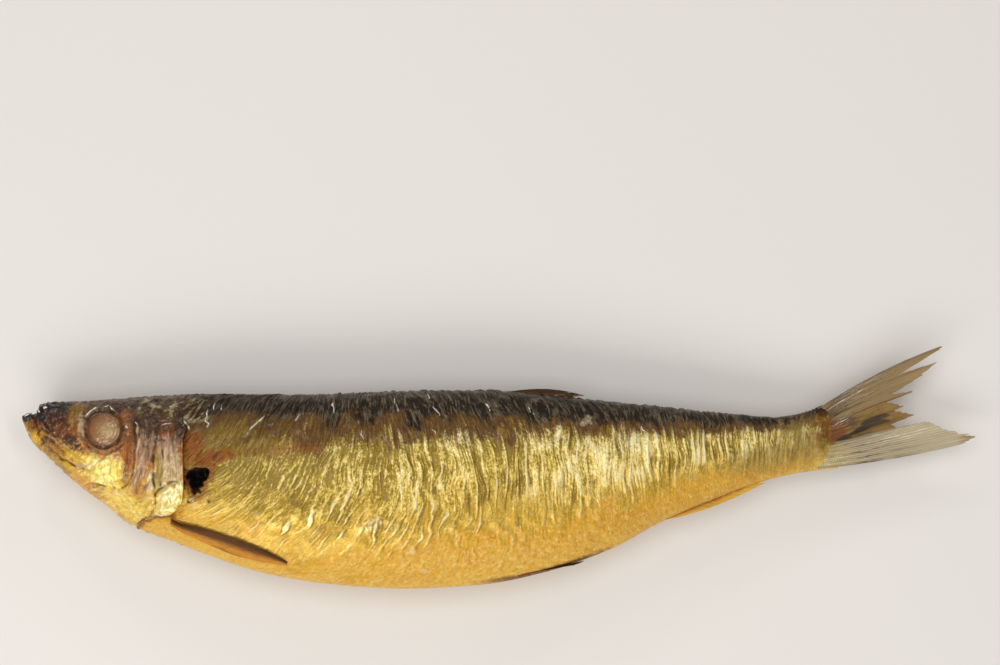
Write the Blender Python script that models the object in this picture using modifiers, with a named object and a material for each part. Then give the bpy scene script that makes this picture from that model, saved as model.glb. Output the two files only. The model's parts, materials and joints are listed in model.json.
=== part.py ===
"""A whole smoked herring, lying on its right side: head towards -X, back towards +Y.

The fish is one solid. Its body is a loft of rounded sections between the outline of the back and
the outline of the belly, its fins are thin ribbed sheets, and a Boolean union makes them one.

Stations are millimetres along the fish from the tip of the lower jaw, heights are millimetres
above the level of the tail's fork, and widths are measured out from the fish's own middle plane.
"""

import math

import bmesh
import bpy
import numpy as np
from mathutils import Vector

MM = 0.001

# The whole fish
TOTAL_LENGTH = 250.0
TAIL_TIP_HEIGHT = 23.7
BELLY_HEIGHT = -40.0
MID_HEIGHT = (TAIL_TIP_HEIGHT + BELLY_HEIGHT) / 2

# The body: outlines in side view, and half its thickness, as (station, value)
STALK_END = 214.0
BACK = [
    (0.0, 5.3), (2.3, 6.2), (3.5, 5.9), (4.6, 8.1), (7.0, 8.8), (15.0, 9.0), (23.0, 9.5),
    (38.0, 10.6), (48.0, 10.9), (73.0, 10.8), (102.0, 11.8), (120.0, 12.0), (135.0, 11.0),
    (146.0, 9.8), (165.0, 8.0), (185.0, 6.0), (198.0, 5.1), (204.0, 6.0), (214.0, 9.7),
]
BELLY = [
    (0.0, 4.0), (1.6, 0.3), (3.3, -2.2), (8.0, -6.5), (14.4, -12.4), (22.0, -18.0),
    (30.3, -24.0), (38.0, -26.9), (47.0, -30.5), (64.0, -36.0), (80.0, -38.7),
    (100.0, BELLY_HEIGHT), (120.0, -39.0), (137.0, -35.7), (155.0, -29.3), (167.0, -22.8),
    (180.0, -17.2), (196.0, -11.4), (204.0, -9.6), (214.0, -8.4),
]
HALF_WIDTH = [
    (0.0, 0.7), (1.5, 1.7), (4.0, 2.7), (10.0, 4.5), (20.0, 6.8), (32.0, 8.8), (42.0, 10.0),
    (55.0, 11.1), (75.0, 12.1), (100.0, 12.3), (125.0, 11.5), (150.0, 9.5), (175.0, 6.8),
    (195.0, 4.3), (205.0, 3.1), (210.0, 2.2), (214.0, 1.0),
]
WIDEST_SHARE = 0.45
BACK_ROUNDNESS = 2.2
KEEL_ROUNDNESS = 1.75

# How high the middle plane runs above the table. What would lie below the table is pressed flat.
SPINE = [(0.0, 10.4), (40.0, 11.1), (100.0, 11.3), (160.0, 10.7), (212.0, 8.8), (250.0, 7.6)]

# The gill covers: the rear edge as (height, station), and how the flap stands off the flank
GILL_EDGE = [
    (-24.5, 30.0), (-23.4, 30.7), (-22.0, 32.7), (-21.4, 35.5), (-20.7, 39.4), (-18.7, 41.7),
    (-17.1, 42.8), (-13.5, 43.1), (-2.0, 42.9), (1.2, 43.6), (4.0, 42.8), (11.0, 42.8),
]
GILL_STATION = 43.0
GILL_BLEND_FRONT = 31.0
GILL_BLEND_BACK = 22.0
FLAP_TOP_HEIGHT = 4.5
FLAP_BOTTOM_HEIGHT = -23.6
FLAP_FADE = 3.0
FLAP_RISE_LENGTH = 9.0
# Rings at the flap's edge: (station past the edge, distance out, distance along the fish)
FLAP_RINGS = [(0.0, 0.8, 0.0), (0.01, 0.35, 0.0), (0.02, -0.35, -0.5), (1.4, -0.1, 0.0)]

# How finely the body is divided
RING_POINTS = 40
NOSE_STATIONS = 6
HEAD_STATIONS = 31
TRUNK_STATIONS = 38

# The eyes: a flattened ball that stands in a shallow socket with a raised rim
EYE_STATION, EYE_HEIGHT = 21.9, 1.9
EYE_RADIUS = 4.2
EYE_FLATNESS = 0.38
EYE_SINK = 0.4
SOCKET_RADIUS = 4.9
SOCKET_FLATNESS = 0.26
RIM_RADIUS = 5.3
RIM_THICKNESS = 0.6

# Grooves on each side of the head: the closed mouth, and the crease in front of the gill cover
GROOVE_WIDTH = 0.9
MOUTH = [(2.6, 6.4), (4.0, 3.0), (4.9, -0.4), (7.4, -3.6), (11.5, -6.6), (16.5, -9.0)]
CHEEK_CREASE = [(30.2, 3.0), (30.6, -3.0), (29.8, -8.7), (27.4, -13.2), (24.5, -14.6), (20.5, -13.4)]
GROOVE_STEPS = 16
# The upper jaw's blade, which lies along the mouth: its upper and its lower edge
JAW_UPPER_EDGE = [(4.6, 5.5), (7.5, 1.6), (11.0, -2.2), (15.0, -5.4), (17.4, -6.9)]
JAW_LOWER_EDGE = [(4.7, 3.4), (5.9, -0.4), (8.8, -3.7), (13.0, -6.9), (17.4, -8.6)]
JAW_THICKNESS = 1.1

# The hole behind each gill cover, where the fish hung on its rod
ROD_HOLE_STATION, ROD_HOLE_HEIGHT = 47.0, -11.3
ROD_HOLE_RADIUS = 4.0
ROD_HOLE_TAPER = 0.6
ROD_HOLE_STRETCH = 1.15
ROD_HOLE_DEPTH = 7.0

# The tail fin from its upper to its lower edge: where each ray starts, and where it ends in the
# torn rear edge. Short rays are the splits between the fingers.
TAIL_RAYS = [
    (9.0, 241.5, 23.7), (7.6, 240.6, 22.6), (6.6, 229.8, 16.0), (6.0, 239.5, 19.1),
    (4.6, 236.3, 16.0), (3.2, 228.2, 11.0), (2.6, 234.2, 11.8), (1.3, 226.4, 8.9),
    (0.8, 231.4, 7.9), (0.0, 228.5, 6.8), (-0.5, 234.3, 5.6), (-1.6, 227.7, 3.0),
    (-2.4, 229.6, 2.1), (-2.9, 236.9, 3.8), (-3.7, 239.0, 3.3), (-5.0, 242.4, 1.8),
    (-6.3, 246.1, 0.7), (-7.8, 250.0, 0.0), (-8.6, 246.8, -2.0),
]
TAIL_ROOT_STATION = 208.5
TAIL_ROOT_MARGIN = 0.4
TAIL_BOW = (1.2, -0.7)
TAIL_WAVE = 0.45
TAIL_THICKNESS = (1.8, 0.6)
TAIL_OVERLAP_RAYS = (10, 11, 12)
TAIL_OVERLAP_RISE = 0.8
TAIL_ROWS = 6

# Between two rays a fin is thinner than along them
MEMBRANE_SHARE = 0.6

# The folded fins: stations of the first and last ray, ray length, and how far the tips stand out
FOLDED_RAYS = 7
FOLDED_ROWS = 3
DORSAL = {"from": 122.5, "to": 139.0, "length": 8.5, "stand_out": 1.6, "thickness": (2.0, 0.9)}
ANAL = {"from": 166.8, "to": 188.5, "length": 6.6, "stand_out": 1.7, "thickness": (1.8, 0.8)}
PELVIC = {"from": 128.0, "to": 131.5, "length": 16.0, "stand_out": 0.5, "thickness": (1.6, 0.8)}
PELVIC_OUT = 1.5
# Each pectoral fin lies folded on the breast: its upper and its lower edge
PECTORAL_UPPER = [(39.7, -22.4), (49.0, -24.6), (58.0, -27.6), (65.5, -30.6), (69.9, -33.1)]
PECTORAL_LOWER = [(39.7, -23.6), (47.0, -27.2), (55.5, -30.6), (64.0, -32.8), (69.9, -33.8)]
PECTORAL_LIFT = 0.3
PECTORAL_THICKNESS = 1.5
PECTORAL_RAYS = 4

SKIN_COLOUR = (0.52, 0.36, 0.10, 1.0)
SKIN_ROUGHNESS = 0.35
SKIN_METALLIC = 0.45


def through(knots, at):
    """The smooth curve through the (position, value) knots. It never overshoots a knot."""
    x, y = np.array(knots, float).T
    at = np.clip(at, x[0], x[-1])
    step = np.diff(x)
    slope = np.diff(y) / step
    turning = slope[:-1] * slope[1:] <= 0
    total = np.where(turning, 1.0, slope[:-1] + slope[1:])
    inner = np.where(turning, 0.0, 2 * slope[:-1] * slope[1:] / total)
    tangent = np.concatenate([slope[:1], inner, slope[-1:]])
    i = np.clip(np.searchsorted(x, at, side="right") - 1, 0, len(step) - 1)
    t = (at - x[i]) / step[i]
    start = (1 + 2 * t) * (1 - t) ** 2 * y[i] + t * (1 - t) ** 2 * step[i] * tangent[i]
    end = t * t * (3 - 2 * t) * y[i + 1] + t * t * (t - 1) * step[i] * tangent[i + 1]
    return start + end


def smoothstep(low, high, value):
    t = np.clip((value - low) / (high - low), 0, 1)
    return t * t * (3 - 2 * t)


def section(station):
    """(top, bottom, level of the widest point, half width) of the body there."""
    top, bottom = through(BACK, station), through(BELLY, station)
    return top, bottom, top + (bottom - top) * WIDEST_SHARE, through(HALF_WIDTH, station)


def skin_at_angle(station, angle):
    """(height, width out) of the skin, with angle 0 at the back and pi at the keel."""
    top, bottom, level, wide = section(station)
    up = np.cos(angle) >= 0
    power = 2 / np.where(up, BACK_ROUNDNESS, KEEL_ROUNDNESS)
    reach = np.where(up, top - level, bottom - level)
    height = level + reach * np.abs(np.cos(angle)) ** power
    return height, wide * np.sign(np.sin(angle)) * np.abs(np.sin(angle)) ** power


def skin_at_height(station, height):
    """Width out to the skin at a height in side view."""
    top, bottom, level, wide = section(np.asarray(station, float))
    up = height >= level
    roundness = np.where(up, BACK_ROUNDNESS, KEEL_ROUNDNESS)
    share = np.clip((height - level) / np.where(up, top - level, bottom - level), 0, 1)
    return wide * (1 - share**roundness) ** (1 / roundness)


def placed(station, height, out):
    """The point in the fish's own frame, in millimetres, that a station, height and width give."""
    station, height, out = np.broadcast_arrays(station, height, out)
    across = through(SPINE, station) + out
    return np.stack([station - TOTAL_LENGTH / 2, height - MID_HEIGHT, across], axis=-1)


def gill_edge_at(angle):
    """The station where the gill cover ends, for each angle round the body."""
    station = np.linspace(GILL_EDGE[0][1], GILL_EDGE[-3][1], 300)[:, None]
    height, _ = skin_at_angle(station, angle[None])
    behind = station >= through(GILL_EDGE, height)
    behind[-1] = True
    return station[behind.argmax(axis=0), 0]


def ring_stations():
    """Stations of the body's rings, with the flap's own rings among them, and which ones those are."""
    nose = np.linspace(0, 4.6, NOSE_STATIONS, endpoint=False)
    head = np.linspace(4.6, GILL_STATION, HEAD_STATIONS, endpoint=False)
    flap = GILL_STATION + np.array([ring[0] for ring in FLAP_RINGS])
    trunk = np.linspace(flap[-1], STALK_END, TRUNK_STATIONS + 1)[1:]
    return np.concatenate([nose, head, flap, trunk]), len(nose) + len(head)


def body_points():
    """The body's rings of points, with the gill covers standing off the flanks."""
    stations, flap_start = ring_stations()
    angle = np.arange(RING_POINTS) * 2 * math.pi / RING_POINTS
    shift = gill_edge_at(angle) - GILL_STATION
    front = smoothstep(GILL_STATION - GILL_BLEND_FRONT, GILL_STATION, stations)
    back = 1 - smoothstep(GILL_STATION, GILL_STATION + GILL_BLEND_BACK, stations)
    station = stations[:, None] + (front * back)[:, None] * shift[None]
    height, out = skin_at_angle(station, angle[None])
    points = placed(station, height, out)

    along, around = np.gradient(points, axis=0), np.gradient(points, axis=1)
    around[:, 0] = (points[:, 1] - points[:, -1]) / 2
    around[:, -1] = (points[:, 0] - points[:, -2]) / 2
    normal = np.cross(around, along)
    normal /= np.maximum(np.linalg.norm(normal, axis=-1, keepdims=True), 1e-9)
    strength = smoothstep(FLAP_BOTTOM_HEIGHT, FLAP_BOTTOM_HEIGHT + FLAP_FADE, height)
    strength *= 1 - smoothstep(FLAP_TOP_HEIGHT - FLAP_FADE, FLAP_TOP_HEIGHT, height)

    rise = smoothstep(GILL_STATION - FLAP_RISE_LENGTH, GILL_STATION, stations) * FLAP_RINGS[0][1]
    lift, pull = np.where(stations < GILL_STATION, rise, 0), np.zeros_like(stations)
    for ring, (_, outwards, along_fish) in enumerate(FLAP_RINGS, start=flap_start):
        lift[ring], pull[ring] = outwards, along_fish
    points += normal * (strength * lift[:, None])[..., None]
    points[..., 0] += strength * pull[:, None]
    points[..., 2] = np.maximum(points[..., 2], 0)
    return points


def collection_for(name):
    made = bpy.data.collections.new(name)
    bpy.context.scene.collection.children.link(made)
    return made


def add_mesh(name, points, faces, collection):
    """A mesh object from points in millimetres, with its faces turned outwards."""
    mesh = bpy.data.meshes.new(name)
    mesh.from_pydata((np.asarray(points).reshape(-1, 3) * MM).tolist(), [], faces)
    shape = bmesh.new()
    shape.from_mesh(mesh)
    bmesh.ops.recalc_face_normals(shape, faces=shape.faces)
    shape.to_mesh(mesh)
    shape.free()
    made = bpy.data.objects.new(name, mesh)
    collection.objects.link(made)
    return made


def adopt(made, collection):
    """Moves the object that an operator has just made into the collection."""
    for home in list(made.users_collection):
        home.objects.unlink(made)
    collection.objects.link(made)
    return made


def apply_modifiers(made):
    graph = bpy.context.evaluated_depsgraph_get()
    mesh = bpy.data.meshes.new_from_object(made.evaluated_get(graph))
    made.modifiers.clear()
    made.data = mesh
    return made


def make_body(collection):
    """The lofted body: rings of points joined into a skin, with the nose and the stalk closed."""
    points = body_points()
    rings, around = points.shape[:2]
    faces = [
        (ring * around + i, ring * around + (i + 1) % around,
         (ring + 1) * around + (i + 1) % around, (ring + 1) * around + i)
        for ring in range(rings - 1)
        for i in range(around)
    ]
    faces.append(tuple(range(around)))
    faces.append(tuple((rings - 1) * around + i for i in range(around)))
    return add_mesh("body", points, faces, collection)


def make_sheet(name, points, rib_count, thickness, collection):
    """A thin ribbed sheet over a grid of points.

    The first axis of the grid runs across the ribs and the second runs along them. thickness is
    (at the start of the ribs, at their end), and the sheet is thinner half way between two ribs.
    """
    columns, lines = points.shape[:2]
    faces = [
        (i * lines + j, (i + 1) * lines + j, (i + 1) * lines + j + 1, i * lines + j + 1)
        for i in range(columns - 1)
        for j in range(lines - 1)
    ]
    sheet = add_mesh(name, points, faces, collection)
    weights = sheet.vertex_groups.new(name="thickness")
    on_rib = np.cos(np.linspace(0, (rib_count - 1) * math.pi, columns)) ** 2
    across = MEMBRANE_SHARE + (1 - MEMBRANE_SHARE) * on_rib
    along = np.linspace(1, thickness[1] / thickness[0], lines)
    for place, weight in enumerate((across[:, None] * along).ravel()):
        weights.add([place], weight, "REPLACE")
    solid = sheet.modifiers.new("Thickness", "SOLIDIFY")
    solid.thickness = thickness[0] * MM
    solid.offset = 0
    solid.vertex_group = weights.name
    return apply_modifiers(sheet)


def fan_points(roots, tips, bow, rows):
    """A grid of points over rays from roots to tips. bow moves the middle of each ray by (x, y, z)."""
    half_steps = np.arange(2 * len(roots) - 1) / 2
    ray = np.arange(len(roots))
    roots, tips, bow = (
        np.stack([np.interp(half_steps, ray, column) for column in values.T], axis=1)[:, None]
        for values in (roots, tips, bow)
    )
    share = np.linspace(0, 1, rows + 1)[None, :, None]
    return roots * (1 - share) + tips * share + bow * 4 * share * (1 - share)


def make_tail_fin(collection):
    """The torn, half-closed tail fin. Its lower lobe lies over the fingers above it."""
    root_height, tip_station, tip_height = np.array(TAIL_RAYS).T
    share = np.linspace(0, 1, len(TAIL_RAYS))
    down = (root_height[0] - root_height) / (root_height[0] - root_height[-1])
    top = through(BACK, TAIL_ROOT_STATION) - TAIL_ROOT_MARGIN
    bottom = through(BELLY, TAIL_ROOT_STATION) + TAIL_ROOT_MARGIN
    roots = placed(TAIL_ROOT_STATION, top + (bottom - top) * down, 0.0)
    curl = TAIL_WAVE * np.sin(share * 7 * math.pi) + 1.2 * (1 - share)
    curl[list(TAIL_OVERLAP_RAYS)] += np.array([1, 0, -1]) * TAIL_OVERLAP_RISE
    tips = placed(tip_station, tip_height, curl)
    bow = np.zeros_like(tips)
    bow[:, 1] = np.interp(share, (0, 1), TAIL_BOW)
    points = fan_points(roots, tips, bow, TAIL_ROWS)
    return make_sheet("tail_fin", points, len(TAIL_RAYS), TAIL_THICKNESS, collection)


def make_folded_fin(name, fin, outline, side, out, collection):
    """A fin folded back along the outline of the back (side 1) or of the belly (side -1)."""
    station = np.linspace(fin["from"], fin["to"], FOLDED_RAYS)
    swept = station + fin["length"]
    stand_out = fin["stand_out"] * np.sin(np.linspace(0.45, 2.5, FOLDED_RAYS))
    roots = placed(station, through(outline, station) - side, out)
    tips = placed(swept, through(outline, swept) + side * stand_out, out)
    points = fan_points(roots, tips, np.zeros_like(tips), FOLDED_ROWS)
    return make_sheet(name, points, FOLDED_RAYS, fin["thickness"], collection)


def on_flank(station, height, side, lift):
    """The points that these stand over, on the skin of the left (1) or the right (-1) flank."""
    return placed(station, height, side * (skin_at_height(station, height) + lift))


def make_flank_plate(name, upper, lower, side, lift, thickness, ribs, collection):
    """A thin plate on the flank between its upper and its lower edge, with ribs along it."""
    station = np.linspace(max(upper[0][0], lower[0][0]), min(upper[-1][0], lower[-1][0]), 10)
    share = np.linspace(0, 1, 2 * ribs - 1)[:, None]
    height = through(upper, station) * (1 - share) + through(lower, station) * share
    points = on_flank(np.broadcast_to(station, height.shape), height, side, lift)
    return make_sheet(name, points, ribs, (thickness, thickness), collection)


def turn_out_of_flank(made, station, height, side, sink):
    """Moves a round thing to the flank, sinks it by a little, and turns its axis to stand out."""
    step = 0.5
    rises = [
        skin_at_height(station + dx, height + dy) - skin_at_height(station - dx, height - dy)
        for dx, dy in ((step, 0), (0, step))
    ]
    normal = Vector((-rises[0], -rises[1], side * 2 * step)).normalized()
    made.rotation_mode = "QUATERNION"
    made.rotation_quaternion = normal.to_track_quat("Z", "Y")
    made.location = (Vector(on_flank(station, height, side, 0.0)) - sink * normal) * MM


def make_lens(name, radius, flatness, side, collection):
    """A flattened ball at the eye, standing out of the side of the head."""
    bpy.ops.mesh.primitive_uv_sphere_add(segments=20, ring_count=10, radius=radius * MM)
    ball = adopt(bpy.context.object, collection)
    ball.name = name
    ball.scale.z = flatness
    turn_out_of_flank(ball, EYE_STATION, EYE_HEIGHT, side, EYE_SINK)


def make_eye_rim(name, side, collection):
    """The rounded ring of skin round the eye, half sunk in the head."""
    bpy.ops.mesh.primitive_torus_add(
        major_segments=20,
        minor_segments=6,
        major_radius=RIM_RADIUS * MM,
        minor_radius=RIM_THICKNESS * MM,
    )
    rim = adopt(bpy.context.object, collection)
    rim.name = name
    turn_out_of_flank(rim, EYE_STATION, EYE_HEIGHT, side, RIM_THICKNESS / 3)


def make_groove_cutter(name, path, side, collection):
    """A bent rod that cuts a groove along a path of (station, height) points on the head."""
    number = np.linspace(0, len(path) - 1, GROOVE_STEPS)
    station, height = (through(list(enumerate(values)), number) for values in zip(*path))
    curve = bpy.data.curves.new(name, "CURVE")
    curve.dimensions = "3D"
    curve.bevel_depth = GROOVE_WIDTH / 2 * MM
    curve.bevel_resolution = 1
    curve.use_fill_caps = True
    spline = curve.splines.new("POLY")
    spline.points.add(GROOVE_STEPS - 1)
    for point, place in zip(spline.points, on_flank(station, height, side, 0.1) * MM):
        point.co = (*place, 1)
    rod = bpy.data.objects.new(name, curve)
    collection.objects.link(rod)
    mesh = bpy.data.meshes.new_from_object(rod.evaluated_get(bpy.context.evaluated_depsgraph_get()))
    shape = bmesh.new()
    shape.from_mesh(mesh)
    bmesh.ops.remove_doubles(shape, verts=shape.verts, dist=0.00001)
    shape.to_mesh(mesh)
    shape.free()
    bpy.data.objects.remove(rod)
    collection.objects.link(bpy.data.objects.new(name, mesh))


def make_rod_hole_cutter(name, side, collection):
    """A three-sided spike, widest at the skin, with a corner towards the belly."""
    surface = skin_at_height(ROD_HOLE_STATION, ROD_HOLE_HEIGHT)
    overshoot = 1.5
    length = ROD_HOLE_DEPTH + overshoot
    out = side * (surface + overshoot - length / 2)
    bpy.ops.mesh.primitive_cone_add(
        vertices=3,
        radius1=ROD_HOLE_RADIUS * ROD_HOLE_TAPER * MM,
        radius2=ROD_HOLE_RADIUS * MM,
        depth=length * MM,
        location=placed(ROD_HOLE_STATION, ROD_HOLE_HEIGHT, out) * MM,
        rotation=(0, 0 if side > 0 else math.pi, math.pi),
    )
    cutter = adopt(bpy.context.object, collection)
    cutter.name = name
    cutter.scale.y = ROD_HOLE_STRETCH
    return cutter


def join_with(target, operation, collection):
    """One Boolean of the target with all that the collection holds, which is then removed."""
    joint = target.modifiers.new(operation.title(), "BOOLEAN")
    joint.operation = operation
    joint.operand_type = "COLLECTION"
    joint.collection = collection
    joint.solver = "MANIFOLD"
    apply_modifiers(target)
    for used in list(collection.objects):
        bpy.data.objects.remove(used)
    bpy.data.collections.remove(collection)
    return target


def skin_material():
    material = bpy.data.materials.new("smoked_skin")
    material.use_nodes = True
    shader = material.node_tree.nodes["Principled BSDF"]
    shader.inputs["Base Color"].default_value = SKIN_COLOUR
    shader.inputs["Roughness"].default_value = SKIN_ROUGHNESS
    shader.inputs["Metallic"].default_value = SKIN_METALLIC
    return material


def main():
    for old in list(bpy.data.objects):
        bpy.data.objects.remove(old)
    fish, cutters, grown_on = map(collection_for, ("smoked_herring", "cutters", "grown_on"))

    body = make_body(fish)
    for side, word in ((1, "left"), (-1, "right")):
        make_lens(f"socket_{word}", SOCKET_RADIUS, SOCKET_FLATNESS, side, cutters)
        make_groove_cutter(f"mouth_{word}", MOUTH, side, cutters)
        make_groove_cutter(f"cheek_{word}", CHEEK_CREASE, side, cutters)
        make_rod_hole_cutter(f"rod_hole_{word}", side, cutters)
        make_lens(f"eye_{word}", EYE_RADIUS, EYE_FLATNESS, side, grown_on)
        make_eye_rim(f"eye_rim_{word}", side, grown_on)
        make_flank_plate(
            f"jaw_{word}", JAW_UPPER_EDGE, JAW_LOWER_EDGE, side, 0.0, JAW_THICKNESS, 2, grown_on
        )
        make_flank_plate(
            f"pectoral_{word}", PECTORAL_UPPER, PECTORAL_LOWER, side, PECTORAL_LIFT,
            PECTORAL_THICKNESS, PECTORAL_RAYS, grown_on,
        )
        make_folded_fin(f"pelvic_{word}", PELVIC, BELLY, -1, side * PELVIC_OUT, grown_on)
    make_folded_fin("dorsal_fin", DORSAL, BACK, 1, 0.0, grown_on)
    make_folded_fin("anal_fin", ANAL, BELLY, -1, 0.0, grown_on)
    make_tail_fin(grown_on)

    join_with(body, "DIFFERENCE", cutters)
    herring = join_with(body, "UNION", grown_on)
    herring.name = "herring"
    herring.data.name = "herring"
    herring.data.materials.clear()
    herring.data.materials.append(skin_material())
    herring.data.shade_smooth()
    herring.data.set_sharp_from_angle(angle=math.radians(50))


main()
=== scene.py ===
"""The looks of a whole smoked herring that lies on its right side: head towards -X, back towards +Y.

Stations are millimetres along the fish from the tip of the lower jaw, and heights are millimetres
above the level of the tail's fork. A place on the fish is given by these two and by its side, and a
width is measured out from the fish's own middle plane.
"""

import json
import math

import bpy
import numpy as np
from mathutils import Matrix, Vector

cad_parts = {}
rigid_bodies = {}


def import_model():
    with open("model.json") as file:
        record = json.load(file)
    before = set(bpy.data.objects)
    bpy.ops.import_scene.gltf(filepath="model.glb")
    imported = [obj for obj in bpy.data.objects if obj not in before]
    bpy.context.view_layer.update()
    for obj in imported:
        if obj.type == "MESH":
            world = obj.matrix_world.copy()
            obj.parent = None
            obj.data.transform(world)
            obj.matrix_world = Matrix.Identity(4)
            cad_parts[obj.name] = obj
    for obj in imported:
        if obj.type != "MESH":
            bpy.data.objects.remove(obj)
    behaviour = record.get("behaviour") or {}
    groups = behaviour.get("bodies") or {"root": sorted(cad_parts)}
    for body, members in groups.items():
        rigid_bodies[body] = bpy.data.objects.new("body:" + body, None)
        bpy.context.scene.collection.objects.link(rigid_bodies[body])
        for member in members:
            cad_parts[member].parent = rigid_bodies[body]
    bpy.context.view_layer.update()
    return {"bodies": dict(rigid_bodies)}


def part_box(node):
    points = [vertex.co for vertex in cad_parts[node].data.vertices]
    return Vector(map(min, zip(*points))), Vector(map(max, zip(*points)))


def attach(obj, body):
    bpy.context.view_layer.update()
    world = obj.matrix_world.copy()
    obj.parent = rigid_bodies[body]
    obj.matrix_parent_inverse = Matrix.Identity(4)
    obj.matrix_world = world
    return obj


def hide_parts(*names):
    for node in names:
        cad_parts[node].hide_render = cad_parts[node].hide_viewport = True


bl_info = {
    "name": "Smoked herring",
    "version": (1, 0, 0),
    "blender": (4, 5, 0),
    "location": "3D View > Sidebar > Herring",
    "description": "Builds the skin, eyes and fins of a whole smoked herring",
    "category": "Add Mesh",
}

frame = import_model()
NODE = "herring"
BODY = next(iter(frame["bodies"]))

MM = 0.001
SEEDS = {"pleats": 11, "crinkles": 12, "mottle": 5, "eyes": 31, "tail_fin": 41}
TOTAL_LENGTH = 250.0
TAIL_TIP_HEIGHT = 23.7
BELLY_HEIGHT = -40.0
MID_HEIGHT = (TAIL_TIP_HEIGHT + BELLY_HEIGHT) / 2
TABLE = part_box(NODE)[0].z

OIL_TINT = (1.0, 0.84, 0.6, 1.0)
CAMERA_LENS = 135.0
CAMERA_ELEVATION = 86.0
CAMERA_DISTANCE = 0.985
CAMERA_TARGET = (0.0003, 0.0353, 0.011)
ROOM_LIGHT = 0.27
ROOM_COLOUR = (1.0, 0.98, 0.95, 1.0)
FLOOR_SIZE = 3.0
FLOOR_SPECKS = (0.62, 0.6, 0.57)
# Each light's (name, place, size, power). They all face the fish.
LIGHTS = [
    ("overhead_softbox", (-0.22, 0.0, 1.25), (1.4, 0.42), 2.45),
    ("front_softbox", (-0.3, -0.85, 0.7), (1.2, 0.5), 6.4),
    ("near_lamp", (-0.42, -0.42, 0.42), (0.2, 0.2), 0.35),
    ("left_strip", (-0.3, 0.06, 0.9), (0.8, 0.022), 1.3),
    ("right_strip", (0.34, 0.06, 0.9), (0.8, 0.022), 1.3),
    ("back_lamp", (-0.25, 0.95, 0.5), (0.12, 0.12), 0.9),
    ("rear_lamp", (0.4, 0.9, 0.5), (0.12, 0.12), 0.7),
]

# What each colour is, and how it looks on a screen
COLOURS = {
    "back": ("Black pigment of the back", 27, 19, 10),
    "back_sheen": ("Grey brown glints on the back", 140, 120, 94),
    "brown": ("Smoked brown band under the back", 104, 70, 32),
    "olive": ("Olive gold where the flank begins", 164, 136, 46),
    "gold": ("Bright gold of the flank", 232, 202, 106),
    "amber": ("Gold that turns orange", 216, 170, 52),
    "belly": ("Orange yellow of the belly", 214, 156, 36),
    "keel": ("Pale tan of the belly's edge", 224, 178, 76),
    # Painted highlight on the crests of the folds, and pale gold spots and tufts
    "crest": ("Pale gold on the crests of the skin's folds", 255, 242, 186),
    # Painted shade in the creases of the folds, and dark flecks
    "crease": ("Brown in the creases of the skin", 88, 62, 14),
    # Painted highlight: white glints along the sharpest folds
    "gleam": ("White gleam of the sharpest folds", 244, 238, 224),
    "rust": ("Red brown where smoke has settled", 132, 66, 14),
    "blood": ("Dark red of the vent and the hole's rim", 78, 32, 16),
    # Black of the snout, and painted shade inside the rod hole
    "char": ("Black of the snout and of the rod hole", 26, 23, 22),
    "rear": ("Dull tan before the tail", 154, 128, 72),
    "umber": ("Brown of the head's top", 88, 60, 30),
    "nape": ("Dark brown of the nape", 50, 32, 20),
    "lichen": ("Greenish mottling of the nape", 168, 160, 124),
    "olive_brown": ("Olive brown before the eye", 150, 110, 40),
    # Painted shade of the head's creases, and dark fine lines behind the gill cover
    "line": ("Dark brown of the head's creases", 54, 32, 18),
    # Painted highlight on the head's ridges and the eye's wrinkles, and pale streaks on the gill cover
    "ridge": ("Pinkish tan of the head's ridges", 214, 180, 138),
    "mauve": ("Pinkish end of the upper jaw", 196, 156, 134),
    "plum": ("Dark plum of the snout's side", 60, 30, 18),
    "bone": ("Pale bone that shows through", 222, 204, 158),
    "grey": ("Grey mauve of the gill cover's front", 178, 144, 116),
    "yellow": ("Yellow of the cheek and the throat", 250, 222, 110),
    "orange": ("Orange behind the eye", 184, 112, 46),
    "eye": ("Clouded eye", 150, 104, 62),
    "eye_pale": ("Pale cloud in the eye", 190, 166, 116),
    "fin": ("Grey brown of the tail's upper lobe", 172, 144, 98),
    "fin_pale": ("Pale grey tan of the tail's lower lobe", 204, 188, 154),
    "fin_amber": ("Amber brown of the tail's middle", 154, 118, 58),
    # Painted highlights: silvery glints streaked along the tail's rays
    "silver": ("Bright streaks at the tail's root", 232, 222, 196),
    "fin_dark": ("Dark olive between the rays", 66, 48, 26),
    "fin_orange": ("Orange brown of the breast fins' lower half", 206, 142, 44),
    "fin_red": ("Red brown of the fins' roots", 126, 70, 30),
    "floor": ("Pale warm floor", 232, 227, 221),
}

# The body's outlines in side view, and half its thickness, as (station, value)
STALK_END = 214.0
BACK = [
    (0.0, 5.3), (2.3, 6.2), (3.5, 5.9), (4.6, 8.1), (7.0, 8.8), (15.0, 9.0), (23.0, 9.5),
    (38.0, 10.6), (48.0, 10.9), (73.0, 10.8), (102.0, 11.8), (120.0, 12.0), (135.0, 11.0),
    (146.0, 9.8), (165.0, 8.0), (185.0, 6.0), (198.0, 5.1), (204.0, 6.0), (214.0, 9.7),
]
BELLY = [
    (0.0, 4.0), (1.6, 0.3), (3.3, -2.2), (8.0, -6.5), (14.4, -12.4), (22.0, -18.0),
    (30.3, -24.0), (38.0, -26.9), (47.0, -30.5), (64.0, -36.0), (80.0, -38.7),
    (100.0, BELLY_HEIGHT), (120.0, -39.0), (137.0, -35.7), (155.0, -29.3), (167.0, -22.8),
    (180.0, -17.2), (196.0, -11.4), (204.0, -9.6), (214.0, -8.4),
]
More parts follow.
